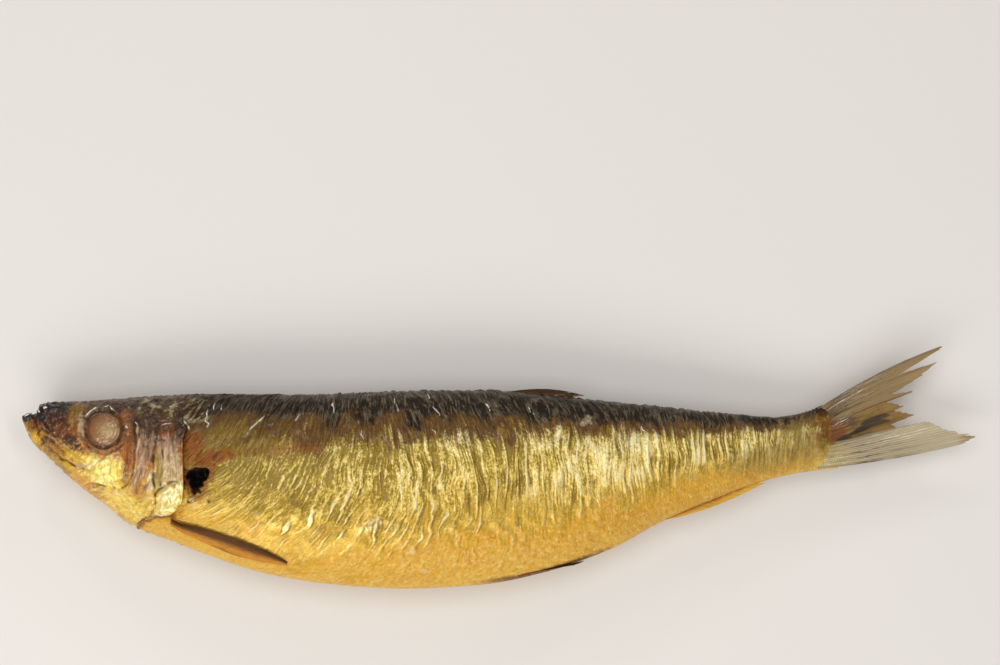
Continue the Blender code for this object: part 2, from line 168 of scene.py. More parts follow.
HALF_WIDTH = [
    (0.0, 0.7), (1.5, 1.7), (4.0, 2.7), (10.0, 4.5), (20.0, 6.8), (32.0, 8.8), (42.0, 10.0),
    (55.0, 11.1), (75.0, 12.1), (100.0, 12.3), (125.0, 11.5), (150.0, 9.5), (175.0, 6.8),
    (195.0, 4.3), (205.0, 3.1), (210.0, 2.2), (214.0, 1.0),
]
TAIL_ROOT_FLATTENING = 0.85
WIDEST_SHARE = 0.45
BACK_ROUNDNESS = 2.2
KEEL_ROUNDNESS = 1.75
SPINE = [(0.0, 10.4), (40.0, 11.1), (100.0, 11.3), (160.0, 10.7), (212.0, 8.8), (250.0, 7.6)]

# The gill covers: the rear edge as (height, station), and how the flap stands off the flank
GILL_EDGE = [
    (-24.5, 30.0), (-23.4, 30.7), (-22.0, 32.7), (-21.4, 35.5), (-20.7, 39.4), (-18.7, 41.7),
    (-17.1, 42.8), (-13.5, 43.1), (-2.0, 42.9), (1.2, 43.6), (4.0, 42.8), (11.0, 42.8),
]
GILL_EDGE_STEPS = 600
GILL_EDGE_BLUR = (0.1, 0.2, 0.4, 0.2, 0.1)
GILL_STATION = 43.0
# How much closer the head's rings are at the snout than at the gill cover
RING_CROWDING = 1.08
NAPE_END = 52.0
GILL_BLEND_FRONT = 31.0
GILL_BLEND_BACK = 22.0
FLAP_TOP_HEIGHT = 4.5
FLAP_BOTTOM_HEIGHT = -23.6
FLAP_FADE = 3.0
FLAP_RISE_LENGTH = 9.0
# Rings over the lip and into the crevice: (station past the edge, distance out, along the fish)
LIP_RINGS = [
    (0.0, 0.8, 0.0), (0.05, 0.74, 0.06), (0.09, 0.58, 0.1), (0.12, 0.3, 0.05),
    (0.14, -0.05, -0.25), (0.16, -0.45, -0.6),
]
CREVICE_RINGS = [(0.22, -0.5, -0.4), (0.5, -0.36, 0.0), (0.95, -0.2, 0.0), (1.5, -0.08, 0.0)]

# The eye, and the relief of its socket as (distance from the eye's centre, rise)
EYE = (22.2, 1.5)
EYE_RADIUS = 4.6
EYE_LENGTH_SHARE = 0.96
EYE_DOME, EYE_SUNK = 1.5, 0.85
EYE_POINTS, EYE_ROUNDS = 96, 40
EYE_CLOUD = (22.9, 1.1, 3.0, 2.5, 20.0)
WRINKLES = 5.5
SOCKET = [
    (0.0, -1.2), (3.6, -1.1), (4.1, -0.7), (4.4, -0.34), (4.8, -0.1), (5.3, 0.06), (6.0, 0.04),
    (6.8, 0.0),
]
# The ring of painted shade round the eye: its radius and half width
EYE_RING = (4.95, 0.32)
# Folds of skin under the eye: (distance from its centre, rise, painted light, which is shade below 0)
EYE_FOLDS = [(4.9, -0.3, -1.0), (5.6, 0.22, 0.5), (6.3, -0.2, -0.9), (6.95, 0.2, 0.5)]

# Creases and ridges of the head: (path of (station, height) points, half width, rise, painted
# light). The painted light is painted shade where negative, and a painted highlight where positive.
MOUTH = [(2.6, 6.4), (4.0, 3.0), (4.9, -0.4), (7.4, -3.6), (11.5, -6.6), (16.5, -9.0)]
CHEEK_CREASE = [(29.9, 3.4), (30.5, -1.8), (29.9, -8.8), (28.0, -13.3), (25.0, -13.9), (18.6, -12.7)]
STROKES = [
    (MOUTH, 0.34, -0.6, -0.9),
    (CHEEK_CREASE, 0.3, -0.4, -0.8),
    (
        [(30.9, 2.6), (31.4, -2.0), (30.9, -9.0), (28.9, -14.2), (25.2, -15.0), (18.8, -13.9)],
        0.5, 0.36, 1.0,
    ),
    ([(32.2, 0.4), (31.8, -4.6), (31.0, -8.6), (29.3, -12.8), (27.4, -15.2)], 0.22, -0.22, -0.6),
    ([(33.2, -2.6), (32.8, -6.8), (32.0, -10.8), (30.2, -15.6)], 0.22, -0.2, -0.55),
    ([(34.2, -3.6), (34.1, -8.0), (33.4, -12.0), (32.0, -16.2)], 0.22, -0.18, -0.5),
    ([(29.0, -2.0), (28.9, -8.4), (27.2, -12.2)], 0.32, 0.22, 0.4),
    ([(28.2, -3.4), (28.0, -8.2), (26.4, -11.9)], 0.25, -0.2, -0.5),
    ([(5.9, 2.4), (7.4, 0.4), (9.6, -1.4), (12.6, -3.4)], 0.24, 0.18, 0.7),
    ([(5.4, 1.7), (6.9, -0.5), (9.2, -2.4), (12.6, -4.5)], 0.22, -0.2, -0.7),
    ([(5.0, 1.0), (6.4, -1.3), (8.8, -3.5), (12.4, -5.6)], 0.24, 0.18, 0.5),
    ([(6.9, 3.3), (8.5, 1.1), (10.6, -0.6), (13.0, -2.2)], 0.22, 0.12, 0.4),
    ([(6.3, 3.0), (7.9, 0.9), (10.1, -1.0)], 0.2, -0.15, -0.6),
    ([(4.6, 6.9), (6.0, 5.8), (7.4, 4.8), (8.2, 3.2)], 0.3, -0.3, -0.5),
    ([(35.9, -1.2), (35.5, -4.6), (35.4, -8.4), (35.3, -12.8)], 0.34, -0.34, -1.3),
    ([(36.9, -3.0), (36.6, -7.0), (36.3, -13.0)], 0.4, 0.34, 0.35),
    ([(37.9, -3.6), (37.7, -8.0), (37.0, -13.2)], 0.3, -0.3, -1.1),
    ([(35.1, -11.6), (35.7, -15.0), (35.6, -18.6), (34.2, -21.0)], 0.28, -0.5, -1.0),
    ([(35.9, -15.6), (37.0, -14.2), (39.2, -12.9), (41.2, -12.2), (42.6, -12.6)], 0.34, -0.4, -1.2),
    ([(36.2, -16.2), (37.6, -14.9), (39.6, -13.8), (41.4, -13.2)], 0.34, 0.3, 0.8),
    ([(39.2, -2.6), (39.4, -8.0), (39.0, -12.4)], 0.2, -0.14, -0.4),
    ([(41.2, -2.0), (41.4, -8.0), (41.0, -11.8)], 0.2, -0.14, -0.35),
    ([(40.3, -2.4), (40.5, -8.0), (40.0, -12.0)], 0.24, 0.14, 0.4),
    ([(32.8, -0.6), (32.4, -5.6), (31.5, -9.8), (29.8, -14.2)], 0.22, 0.16, 0.5),
    ([(33.8, -3.0), (33.5, -7.4), (32.7, -11.4), (31.2, -15.8)], 0.22, 0.14, 0.45),
    ([(29.9, -23.7), (31.8, -22.2), (33.8, -21.3), (36.5, -21.2), (39.7, -21.3)], 0.36, -0.35, -0.9),
    ([(17.3, 4.9), (18.2, 5.9), (19.8, 6.8), (21.7, 7.2), (23.6, 6.9), (25.2, 5.6)], 0.24, 0.38, 0.95),
    ([(17.6, 4.3), (18.7, 5.3), (20.1, 6.1), (21.7, 6.5), (23.2, 6.2), (24.5, 5.1)], 0.22, -0.3, -0.8),
    ([(21.0, 8.0), (23.0, 7.9), (24.9, 7.1), (26.3, 5.6)], 0.3, -0.12, -0.9),
    ([(35.9, 2.6), (37.0, 3.4), (38.6, 3.5), (40.2, 2.6)], 0.3, 0.35, 0.8),
    ([(35.6, 0.8), (36.3, -0.9), (38.0, -1.6)], 0.34, -0.3, -0.7),
    ([(24.6, 8.2), (28.0, 6.6), (31.0, 3.6)], 0.36, -0.2, -0.5),
    ([(32.6, 4.8), (35.0, 5.2), (37.4, 4.7)], 0.3, -0.2, -0.6),
    ([(22.5, -16.4), (26.5, -19.0), (30.5, -21.9)], 0.4, -0.18, -0.3),
    ([(24.5, -16.0), (28.0, -18.2), (32.0, -20.6)], 0.45, 0.16, 0.4),
    ([(27.0, -15.9), (30.2, -17.6), (33.6, -18.6)], 0.36, -0.16, -0.3),
]
# Domes and dents of the head: (station, height, radius along, radius up, turn in degrees, rise)
DOMES = [
    (38.2, 0.9, 2.5, 2.4, 0.0, 0.85),
    (22.4, -9.2, 5.4, 4.0, -6.0, 0.35),
    (39.6, -16.7, 4.9, 2.8, 50.0, 0.6),
    (16.0, -8.1, 2.5, 0.9, -3.0, 0.5),
    (16.0, 2.3, 1.1, 2.8, 0.0, 0.3),
    (27.9, 4.2, 1.8, 3.2, 8.0, 0.35),
    (7.4, 7.2, 2.6, 1.4, 0.0, 0.35),
    (1.6, 5.0, 1.8, 0.9, 15.0, 0.35),
    (9.0, 5.2, 0.7, 0.6, 0.0, -0.4),
    (13.8, -1.6, 0.7, 0.6, 0.0, 0.35),
    (13.0, -0.6, 0.5, 0.5, 0.0, 0.3),
    (4.7, 6.4, 0.7, 0.6, 0.0, 0.3),
    (6.3, 6.4, 0.7, 0.6, 0.0, 0.3),
    (6.9, 5.3, 0.6, 0.5, 0.0, 0.3),
    (31.5, 1.6, 0.9, 1.1, 0.0, 0.3),
    (36.2, 4.0, 1.2, 0.6, 0.0, 0.3),
    (42.8, 1.4, 0.9, 1.3, 20.0, 0.3),
    (34.0, 1.6, 1.9, 2.2, 0.0, -0.35),
    (28.6, 0.9, 0.8, 1.2, 0.0, 0.35),
    (29.0, -2.0, 0.6, 0.9, 0.0, 0.3),
]
# How fast the ribs of the gill cover's front curve forwards on their way down
RIB_CURVE = 0.016
# How high the ribs stand, and how strongly they are painted lighter, with painted shade between them
THROAT_RIB_RISE, COVER_RIB_RISE, RIB_PAINTED_LIGHT = 0.1, 0.14, 0.14
JAW_SLANT = -42.0
# The upper jaw's blade lies along the mouth, between these edges
JAW_UPPER_EDGE = [(4.6, 5.5), (7.5, 1.6), (11.0, -2.2), (15.0, -5.4), (17.4, -6.9)]
JAW_LOWER_EDGE = [(4.7, 3.4), (5.9, -0.4), (8.8, -3.7), (13.0, -6.9), (17.4, -8.6)]
JAW_RISE = 0.5

# The hole behind the gill cover, where the fish hung on its rod: its corners and its depth
ROD_HOLE = [(43.2, -9.4), (50.9, -8.5), (46.2, -16.6)]
ROD_HOLE_DEPTH = 4.5
ROD_HOLE_ROUNDING = 0.7
ROD_HOLE_RIM_RISE = 0.25

# The folds' relative spacing at each station
FOLD_SPREAD = [
    (43.0, 0.4), (56.0, 0.55), (75.0, 0.85), (100.0, 1.0), (150.0, 0.92), (178.0, 0.66),
    (200.0, 0.5), (214.0, 0.42),
]
# The folds are counted along the fish in steps, from before the snout to past the tail. Round the
# fish, a jump in the distance from the back is where one flank ends and the other begins.
FOLD_STEP = 0.5
FOLD_MARGIN = 20.0
SIDE_JUMP = 2.0
# The skin's folds, in tables that run along the fish (columns) and from the back down to the belly
# (rows). Leans are degrees from upright, positive with the top towards the tail. A shortness of 1
# makes crinkles, and 0 makes long pleats.
FOLD_STATIONS = [46.0, 73.0, 99.0, 125.0, 152.0, 178.0, 204.0]
FOLD_SHARES = [0.08, 0.25, 0.5, 0.72, 0.92]
# Long pleats, short crinkles and fine folds: (noise, spacing as a share of the widest, squash round
# the fish, shift), how wide their crests are, and how much of the fine folds the crinkles take up
FOLD_KINDS = [("pleats", 2.0, 1.0, 0.0), ("crinkles", 0.85, 1.1, 2.0), ("pleats", 0.62, 1.3, 3.0)]
CREST_WIDTH, FINE_CREST_WIDTH, SHORT_CREST = 1.05, 0.9, (0.2, 1.3)
FINE_LOSS = 0.6
FINE_RISE = 0.4
# How much the folds' crests are painted lighter and their creases darker: painted highlight and shade
CREST_PAINTED_LIGHT, FINE_FOLD_PAINTED_LIGHT = 0.5, 0.42
FOLD_LEAN = [
    [40, 25, -20, -26, -14, -6, 0],
    [35, 18, -8, -14, -6, -4, 0],
    [52, 24, 4, -3, -5, 0, 0],
    [46, 36, 24, 8, -8, -2, 0],
    [35, 28, 24, 12, -12, -8, 0],
]
FOLD_DEPTH = [
    [0.70, 0.75, 0.85, 0.90, 0.80, 0.65, 0.45],
    [0.60, 0.60, 0.75, 0.95, 0.90, 0.80, 0.55],
    [0.40, 0.65, 0.95, 1.00, 1.00, 0.95, 0.65],
    [0.30, 0.90, 0.85, 0.60, 0.40, 0.28, 0.20],
    [0.06, 0.14, 0.16, 0.14, 0.12, 0.10, 0.06],
]
FOLD_SHORTNESS = [
    [0.8, 0.7, 0.6, 0.5, 0.6, 0.7, 0.8],
    [0.5, 0.5, 0.4, 0.2, 0.2, 0.3, 0.4],
    [0.4, 0.9, 0.5, 0.1, 0.0, 0.1, 0.3],
    [0.6, 1.0, 1.0, 0.8, 0.4, 0.4, 0.5],
    [0.5, 1.0, 1.0, 0.8, 0.6, 0.6, 0.6],
]

# How bright the golden skin is painted: partly its own tone, and partly painted light
GOLD_TONE_AND_LIGHT = [
    [0.26, 0.30, 0.36, 0.36, 0.40, 0.44, 0.32],
    [0.25, 0.31, 0.37, 0.41, 0.44, 0.54, 0.36],
    [0.30, 0.35, 0.41, 0.41, 0.43, 0.52, 0.34],
    [0.36, 0.38, 0.41, 0.39, 0.38, 0.40, 0.34],
    [0.36, 0.36, 0.36, 0.36, 0.36, 0.36, 0.36],
]

# Sharp folds of dried skin with a white highlight painted along them: (path of (station, height) points,
# half width)
GLINT_FOLDS = [
    ([(59.4, 0.2), (61.6, 2.5), (64.8, 5.3)], 0.2),
    ([(58.9, -1.2), (60.2, 0.9)], 0.16),
    ([(72.0, 3.0), (72.9, 4.7), (73.7, 6.0)], 0.2),
    ([(50.5, 8.8), (50.8, 7.4), (50.7, 5.7)], 0.18),
    ([(49.5, 7.3), (49.0, 4.2), (49.4, 2.2), (50.1, 0.9)], 0.2),
    ([(52.5, 8.0), (52.9, 6.1)], 0.16),
    ([(43.0, 4.2), (44.2, 1.8), (45.4, 0.3)], 0.2),
    ([(81.5, 8.9), (82.0, 7.0), (82.2, 5.0)], 0.18),
    ([(97.6, 10.0), (98.2, 8.0), (99.2, 5.6)], 0.2),
    ([(106.0, 10.6), (107.2, 9.2)], 0.18),
    ([(89.1, 1.2), (89.8, -1.9)], 0.17),
    ([(107.3, 1.7), (108.8, -0.2)], 0.17),
    ([(107.7, 7.9), (109.9, 4.4)], 0.15),
    ([(121.0, 8.8), (123.2, 5.6)], 0.15),
    ([(132.4, 7.6), (134.2, 4.6)], 0.15),
    ([(162.0, 2.6), (163.2, 0.2)], 0.18),
    ([(17.2, 4.4), (18.4, 6.2), (20.4, 7.3)], 0.18),
    ([(21.0, 7.5), (23.0, 7.3), (24.8, 6.3)], 0.16),
    ([(36.9, 1.8), (38.6, 2.7), (40.2, 2.4)], 0.16),
    ([(5.6, 7.6), (6.9, 6.8)], 0.22),
    ([(4.5, 6.6), (4.9, 5.9)], 0.2),
    ([(0.5, 5.0), (2.2, 5.6)], 0.26),
    ([(27.9, 2.4), (28.7, 1.5)], 0.22),
    ([(30.4, 3.6), (31.0, 2.2)], 0.18),
]
GLINT_FOLD_RISE = 0.12
# How far apart the two flanks' grain is read, so that they differ
FLANKS_APART = 3.0

# Where the skin's colours change, as shares of the depth from the back, at each of these stations
TONE_STATIONS = [43.0, 73.0, 125.0, 178.0, 204.0, 214.0]
TONE_SHARES = [
    [0.12, 0.13, 0.16, 0.15, 0.12, 0.10],
    [0.32, 0.33, 0.27, 0.28, 0.24, 0.25],
    [0.66, 0.75, 0.60, 0.62, 0.68, 0.70],
    [0.88, 0.92, 0.78, 0.78, 0.84, 0.86],
]

# The tail fin's rays: where each starts, and where it ends in the torn rear edge
TAIL_RAYS = [
    (9.0, 241.5, 23.7), (7.6, 240.6, 22.6), (6.6, 229.8, 16.0), (6.0, 239.5, 19.1),
    (4.6, 236.3, 16.0), (3.2, 228.2, 11.0), (2.6, 234.2, 11.8), (1.3, 226.4, 8.9),
    (0.8, 231.4, 7.9), (0.0, 228.5, 6.8), (-0.5, 234.3, 5.6), (-1.6, 227.7, 3.0),
    (-2.4, 229.6, 2.1), (-2.9, 236.9, 3.8), (-3.7, 239.0, 3.3), (-5.0, 242.4, 1.8),
    (-6.3, 246.1, 0.7), (-7.8, 250.0, 0.0), (-8.6, 246.8, -2.0),
]
TAIL_ROOT_STATION = 208.5
TAIL_ROOT_MARGIN = 0.4
TAIL_BOW = (1.2, -0.7)
TAIL_WAVE = 0.45
TAIL_WAVES = 7
TAIL_TIP_LIFT = 1.2
TAIL_OVERLAP_RAYS = (10, 11, 12)
TAIL_OVERLAP_RISE = 0.8

# Patches of the tail fin, as ellipses of (ray, share along it, radius in rays, radius along, turn)
TAIL_PATCHES = {
    # Painted shade along the fold where the two lobes overlap
    "stain": [
        (11.0, 0.38, 0.5, 0.12, 0.0), (10.3, 0.5, 0.8, 0.14, 0.0), (9.7, 0.64, 0.7, 0.14, 0.0),
        (9.1, 0.78, 0.4, 0.12, 0.0),
    ],
    "edge": [
        (0.0, 0.3, 0.5, 0.5, 0.0), (18.0, 0.3, 0.3, 0.5, 0.0), (2.2, 0.18, 4.0, 0.14, 0.0),
    ],
    "warm": [
        (7.6, 0.95, 1.0, 0.14, 0.0), (10.0, 1.0, 1.2, 0.16, 0.0), (9.9, 0.66, 1.2, 0.14, 0.0),
        (17.0, 1.0, 0.7, 0.07, 0.0), (11.2, 0.9, 0.6, 0.2, 0.0),
    ],
    # Painted highlights: silvery glints along the rays
    "silver": [
        (1.4, 0.2, 2.2, 0.45, 0.0), (17.0, 0.1, 2.4, 0.16, 0.0), (13.6, 0.7, 1.6, 0.3, 0.0),
        (6.4, 0.3, 1.4, 0.16, 0.0),
    ],
}
TAIL_POINTS = {"per_ray": 14, "rows": 150}
# The tail fin's thickness, as (share along it, millimetres), and how deep the gaps between rays are
TAIL_THICKNESS = [(0.0, 2.1), (0.1, 1.5), (0.2, 0.95), (0.5, 0.6), (1.0, 0.32)]
TAIL_GAP_DEPTH = 0.45
# The rays between which each lobe's colour fades into the middle's, and how ragged the rear edge is
TAIL_UPPER_LOBE = (4.5, 7.5)
TAIL_LOWER_LOBE = (11.0, 12.6)
TAIL_MIDDLE_RAY = 8.6
TAIL_RAGGED = 0.012

FOLDED_POINTS = {"per_ray": 8, "rows": 40}
FOLDED_RAYS = 13
BREAST_FIN_POINTS = (160, 61)
BREAST_FIN_RAYS = 9
# Fins folded along the body: the first and the last root, how long the rays are, how far their tips
# stand out from the outline, how far that dies away at the last (pi for all the way), how thick they
# are at the root and at the tip, and how pale the tufts at their end are
DORSAL = {"from": 122.5, "to": 139.0, "length": 8.5, "stand_out": 1.6, "end": 2.5}
DORSAL |= {"thickness": (1.8, 0.6), "tuft": 1.0}
ANAL = {"from": 165.5, "to": 188.5, "length": 6.6, "stand_out": 1.8, "end": 2.85}
ANAL |= {"thickness": (1.6, 0.6), "tuft": 0.4}
PELVIC = {"from": 128.0, "to": 131.5, "length": 16.0, "stand_out": 0.5, "end": 2.5}
PELVIC |= {"thickness": (1.4, 0.6), "tuft": 0.0}
FOLD_BACK_START = 0.45
FIN_GAP_DEPTH = 0.15
PELVIC_OUT = 1.5
# The skins of the fins: the colours of their root, their tip and the gaps between their rays
FIN_SKINS = {
    "folded_fin_skin": ("fin_red", "fin_dark", "fin_dark"),
    "belly_fin_skin": ("rust", "amber", "orange"),
    "breast_fin_skin": ("umber", "fin_orange", "rust"),
}
# The breast fins' two long edges, and how they stand off the flank: at the edges, and more between
PECTORAL_UPPER = [(39.7, -22.4), (49.0, -24.6), (58.0, -27.6), (65.5, -30.6), (69.9, -33.1)]
PECTORAL_LOWER = [
    (39.7, -22.8), (42.0, -24.6), (47.0, -27.0), (55.5, -30.6), (64.0, -32.8), (69.9, -33.8),
]
PECTORAL_LIFT = (0.25, 0.35)

# Patches of colour of the skin, as ellipses of (station, height, radius along, radius up, turn in
# degrees), and bands of colour along a path, with their half width
OVALS = {
    "throat": [(27.5, -17.0, 7.5, 3.6, -30.0)],
    "jaw_orange": [(19.0, -14.2, 7.0, 2.0, -38.0), (26.0, -19.5, 5.0, 1.4, -38.0)],
    "jaw_gold": [(12.2, -7.4, 2.9, 1.0, -46.0), (3.7, -0.9, 1.7, 0.7, -62.0)],
    "gill_grey": [
        (32.9, -3.4, 2.6, 5.6, -8.0), (31.6, -9.5, 1.9, 5.0, -18.0), (38.4, -3.0, 4.4, 3.0, 0.0),
    ],
    "gill_cream": [
        (40.4, -8.6, 3.0, 5.4, 10.0), (37.6, -10.5, 2.2, 4.6, 4.0), (34.4, -12.6, 1.4, 3.6, -16.0),
    ],
    "gill_rust": [(31.3, -14.6, 2.8, 2.4, 20.0)],
    "gill_blade": [(36.6, -8.4, 1.1, 5.6, 3.0)],
    "leaf_plate": [(39.6, -16.7, 4.9, 2.8, 50.0)],
    "cheek_gold": [(22.3, -9.0, 5.3, 3.7, -5.0), (18.6, -7.4, 2.2, 2.2, 0.0)],
    "cheek_brown": [(28.3, -8.2, 1.2, 5.0, -8.0)],
    "eye_orange": [(27.4, 5.0, 1.8, 2.8, 0.0), (28.5, 0.4, 1.3, 3.4, 0.0)],
    "eye_brown": [EYE + (6.4, 6.4, 0.0)],
    "pale_crescent": [(16.0, 2.3, 0.9, 2.7, 0.0)],
    "amber": [(15.0, 6.9, 2.3, 1.7, 0.0), (13.7, 4.2, 1.4, 2.8, 0.0)],
    "plum": [(8.6, 2.8, 4.0, 4.2, -35.0), (6.0, 4.4, 2.4, 2.4, 0.0), (12.9, -1.3, 4.0, 1.8, -38.0)],
    "red_cheek": [(10.6, 1.2, 1.4, 2.4, 20.0)],
    "jaw_brown": [(8.4, -2.6, 5.6, 1.9, -44.0), (2.4, 2.6, 2.2, 1.5, -60.0)],
    "jaw_end": [(16.0, -8.1, 2.4, 0.8, -3.0)],
    "nape_dark": [
        (33.4, 1.8, 4.6, 4.2, -8.0), (29.0, 7.6, 7.0, 1.5, 3.0), (42.0, 1.6, 2.4, 4.4, 0.0),
    ],
    "nape_pale": [(38.0, 7.6, 7.5, 2.4, -2.0), (45.4, 6.0, 4.4, 3.6, -30.0)],
    "gill_bump": [(38.2, 0.7, 2.1, 1.9, 0.0)],
    "snout": [(8.2, 7.7, 4.8, 1.8, 0.0), (4.7, 6.0, 1.7, 2.2, 0.0), (1.5, 4.9, 2.2, 1.4, 15.0)],
    "behind_gill": [(54.5, 0.4, 7.0, 2.6, 14.0), (61.0, -3.4, 8.0, 2.2, 8.0)],
    "rust": [(45.4, -3.4, 3.4, 4.6, 0.0), (50.0, -6.0, 6.4, 2.0, 12.0)],
    "hole_stain": [(44.6, -12.6, 1.2, 3.0, 18.0)],
    "specks": [(49.8, -17.4, 0.5, 0.5, 0.0), (44.6, -17.6, 0.4, 0.4, 0.0)],
    "rear_grey": [(197.0, -5.6, 12.0, 4.2, 12.0), (206.0, -2.0, 8.0, 7.0, 0.0)],
    "breast": [(47.0, -28.4, 14.0, 2.4, -22.0)],
    "tail_base": [(214.8, 2.0, 6.6, 6.4, 0.0)],
    "tail_pale": [(214.5, -7.0, 6.4, 4.4, 0.0)],
    "tail_dark": [(213.0, 9.4, 9.0, 3.6, 12.0)],
}
BANDS = {
    "jaw_olive": ([(0.6, 4.0), (2.6, 0.4), (6.0, -3.6), (12.0, -9.4)], 1.5),
    "rust_line": ([(48.0, -7.0), (56.0, -5.2), (68.0, -4.0), (78.0, -3.5)], 1.2),
    "isthmus": ([(30.0, -24.4), (33.0, -22.4), (36.0, -20.9), (40.5, -21.2)], 0.7),
    "hole_rim": (ROD_HOLE + ROD_HOLE[:1], 1.3),
    "vent": ([(118.0, -38.6), (131.0, -36.8), (143.0, -33.6), (156.0, -28.9)], 0.8),
    "anal_base": ([(160.0, -26.6), (170.0, -21.6), (180.0, -17.2), (192.0, -12.8)], 2.2),
}
# What the patches of each skin are painted with, and how strongly, in the order of painting
PAINTED = {
    "trunk": [
        ("breast", "keel", 0.5), ("behind_gill", "olive", 0.45), ("rust", "rust", 0.9),
        ("rust_line", "rust", 0.42), ("rear_grey", "rear", 0.6), ("anal_base", "orange", 0.15),
        ("tail_base", "fin_red", 0.8), ("tail_pale", "gold", 0.6), ("isthmus", "rust", 0.8),
        ("vent", "blood", 0.85), ("hole_rim", "rust", 0.7), ("hole_stain", "blood", 0.9),
        ("specks", "char", 0.9), ("tail_dark", "back", 0.7),
    ],
    "head": [
        ("jaw_orange", "orange", 0.6), ("throat", "yellow", 0.75), ("gill_grey", "grey", 0.8),
        ("gill_cream", "bone", 0.75), ("gill_rust", "orange", 0.6), ("gill_blade", "olive", 0.8),
        ("leaf_plate", "yellow", 0.9), ("cheek_gold", "yellow", 0.97),
        ("cheek_brown", "rust", 0.85), ("eye_orange", "orange", 0.8), ("eye_brown", "umber", 0.8),
        ("amber", "olive_brown", 0.85), ("pale_crescent", "bone", 0.45), ("jaw_brown", "rust", 0.75),
        ("jaw_olive", "olive_brown", 0.75), ("plum", "plum", 0.92), ("red_cheek", "rust", 0.35),
        ("jaw_gold", "amber", 0.9), ("jaw_end", "mauve", 0.7), ("gill_bump", "rust", 0.7),
        ("isthmus", "rust", 0.7),
    ],
}
# Patches that a skin mixes with its own noises instead
MOTTLED = {"trunk": ("nape_dark", "nape_pale"), "head": ("nape_dark", "nape_pale", "snout")}
# The vent shows between two stations and close to the keel: each pair is where it fades in or out
VENT_SLIT = ((116.0, 128.0), (148.0, 158.0), (0.955, 0.985))
# Loose scales that lie on the flank: (station, height, radius), how narrow they are and their turn
LOOSE_SCALES = [
    (92.7, -23.3, 2.3), (147.7, 3.5, 1.7), (102.6, -30.2, 1.2), (105.8, -35.4, 0.9),
    (45.4, -16.9, 0.9),
]
LOOSE_SCALE_SHAPE = (0.7, 30.0)
LOOSE_SCALE_RISE = 0.14


# Unevenness read from a mottled noise: (strength, size in millimetres, squash round the fish, shift)
UNEVEN = {
    "fold_bend": [(0.25, 11.0, 1.0, 1.0), (0.45, 17.0, 0.5, 2.0)],
    "fold_wander": [(0.14, 3.4, 1.0, 15.0)],
    "fold_depth": [(0.25, 13.0, 1.0, 4.0), (0.25, 4.0, 0.5, 5.0)],
    "swell": [(0.06, 4.5, 1.0, 6.0)],
    "stroke_along": [(0.12, 4.0, 1.0, 30.0)],
    "stroke_up": [(0.12, 4.0, 1.0, 31.0)],
    "stroke_tint": [(0.35, 3.0, 1.0, 32.0)],
    "head_skin": [(0.08, 2.4, 1.0, 10.0), (0.04, 0.9, 1.0, 11.0)],
    "head_top": [(0.04, 2.6, 1.0, 12.0)],
    "tone_edge": [(0.014, 2.4, 0.3, 13.0)],
    "tone_drift": [(0.025, 12.0, 1.0, 14.0)],
    "gleam": [(0.12, 2.0, 1.0, 33.0)],
    "loose_scale": [(0.16, 1.9, 1.0, 34.0)],
    "hole_edge": [(0.2, 1.8, 1.0, 20.0)],
    "hole_depth": [(0.12, 1.6, 1.0, 23.0)],
    "patch_edge": [(1.0, 3.2, 1.0, 21.0), (0.8, 1.3, 1.0, 22.0)],
    "eye": [(0.08, 2.6, 1.0, 0.0), (0.04, 0.9, 1.0, 0.0)],
}


def through(knots, at):
    """The smooth curve through the (position, value) knots. It never overshoots a knot."""
    x, y = np.array(knots, float).T
    at = np.clip(at, x[0], x[-1])
    step = np.diff(x)
    slope = np.diff(y) / step
    turning = slope[:-1] * slope[1:] <= 0
    total = np.where(turning, 1.0, slope[:-1] + slope[1:])
    inner = np.where(turning, 0.0, 2 * slope[:-1] * slope[1:] / total)
    tangent = np.concatenate([slope[:1], inner, slope[-1:]])
    i = np.clip(np.searchsorted(x, at, side="right") - 1, 0, len(step) - 1)
    t = (at - x[i]) / step[i]
    start = (1 + 2 * t) * (1 - t) ** 2 * y[i] + t * (1 - t) ** 2 * step[i] * tangent[i]
    end = t * t * (3 - 2 * t) * y[i + 1] + t * t * (t - 1) * step[i] * tangent[i + 1]
    return start + end


def smoothstep(low, high, value):
    """0 below low, 1 above high, and smooth between."""
    t = np.clip((value - low) / (high - low), 0, 1)
    return t * t * (3 - 2 * t)


def falloff(low, high, value):
    """1 below low, 0 above high, and smooth between."""
    return 1 - smoothstep(low, high, value)


def bell(reach, power=2):
    """1 at a reach of 0, dying away on both sides of it."""
    return np.exp(-(reach**power))


def from_table(table, station, share):
    """Reads a fold table by station along its columns and by share of the depth down its rows."""
    rows = [np.interp(station, FOLD_STATIONS, row) for row in table]
    value = rows[0]
    for low, high, row in zip(FOLD_SHARES, FOLD_SHARES[1:], rows[1:]):
        value = value + (row - value) * smoothstep(low, high, share)
    return value


def section(station):
    """(top, bottom, level of the widest point, half width) of the body there."""
    top, bottom = through(BACK, station), through(BELLY, station)
    return top, bottom, top + (bottom - top) * WIDEST_SHARE, through(HALF_WIDTH, station)


def skin_at_angle(station, angle):
    """(height, width out) of the skin, with angle 0 at the back and pi at the keel."""
    top, bottom, level, wide = section(station)
    up = np.cos(angle) >= 0
    power = 2 / np.where(up, BACK_ROUNDNESS, KEEL_ROUNDNESS)
    reach = np.where(up, top - level, bottom - level)
    height = level + reach * np.abs(np.cos(angle)) ** power
    return height, wide * np.sign(np.sin(angle)) * np.abs(np.sin(angle)) ** power


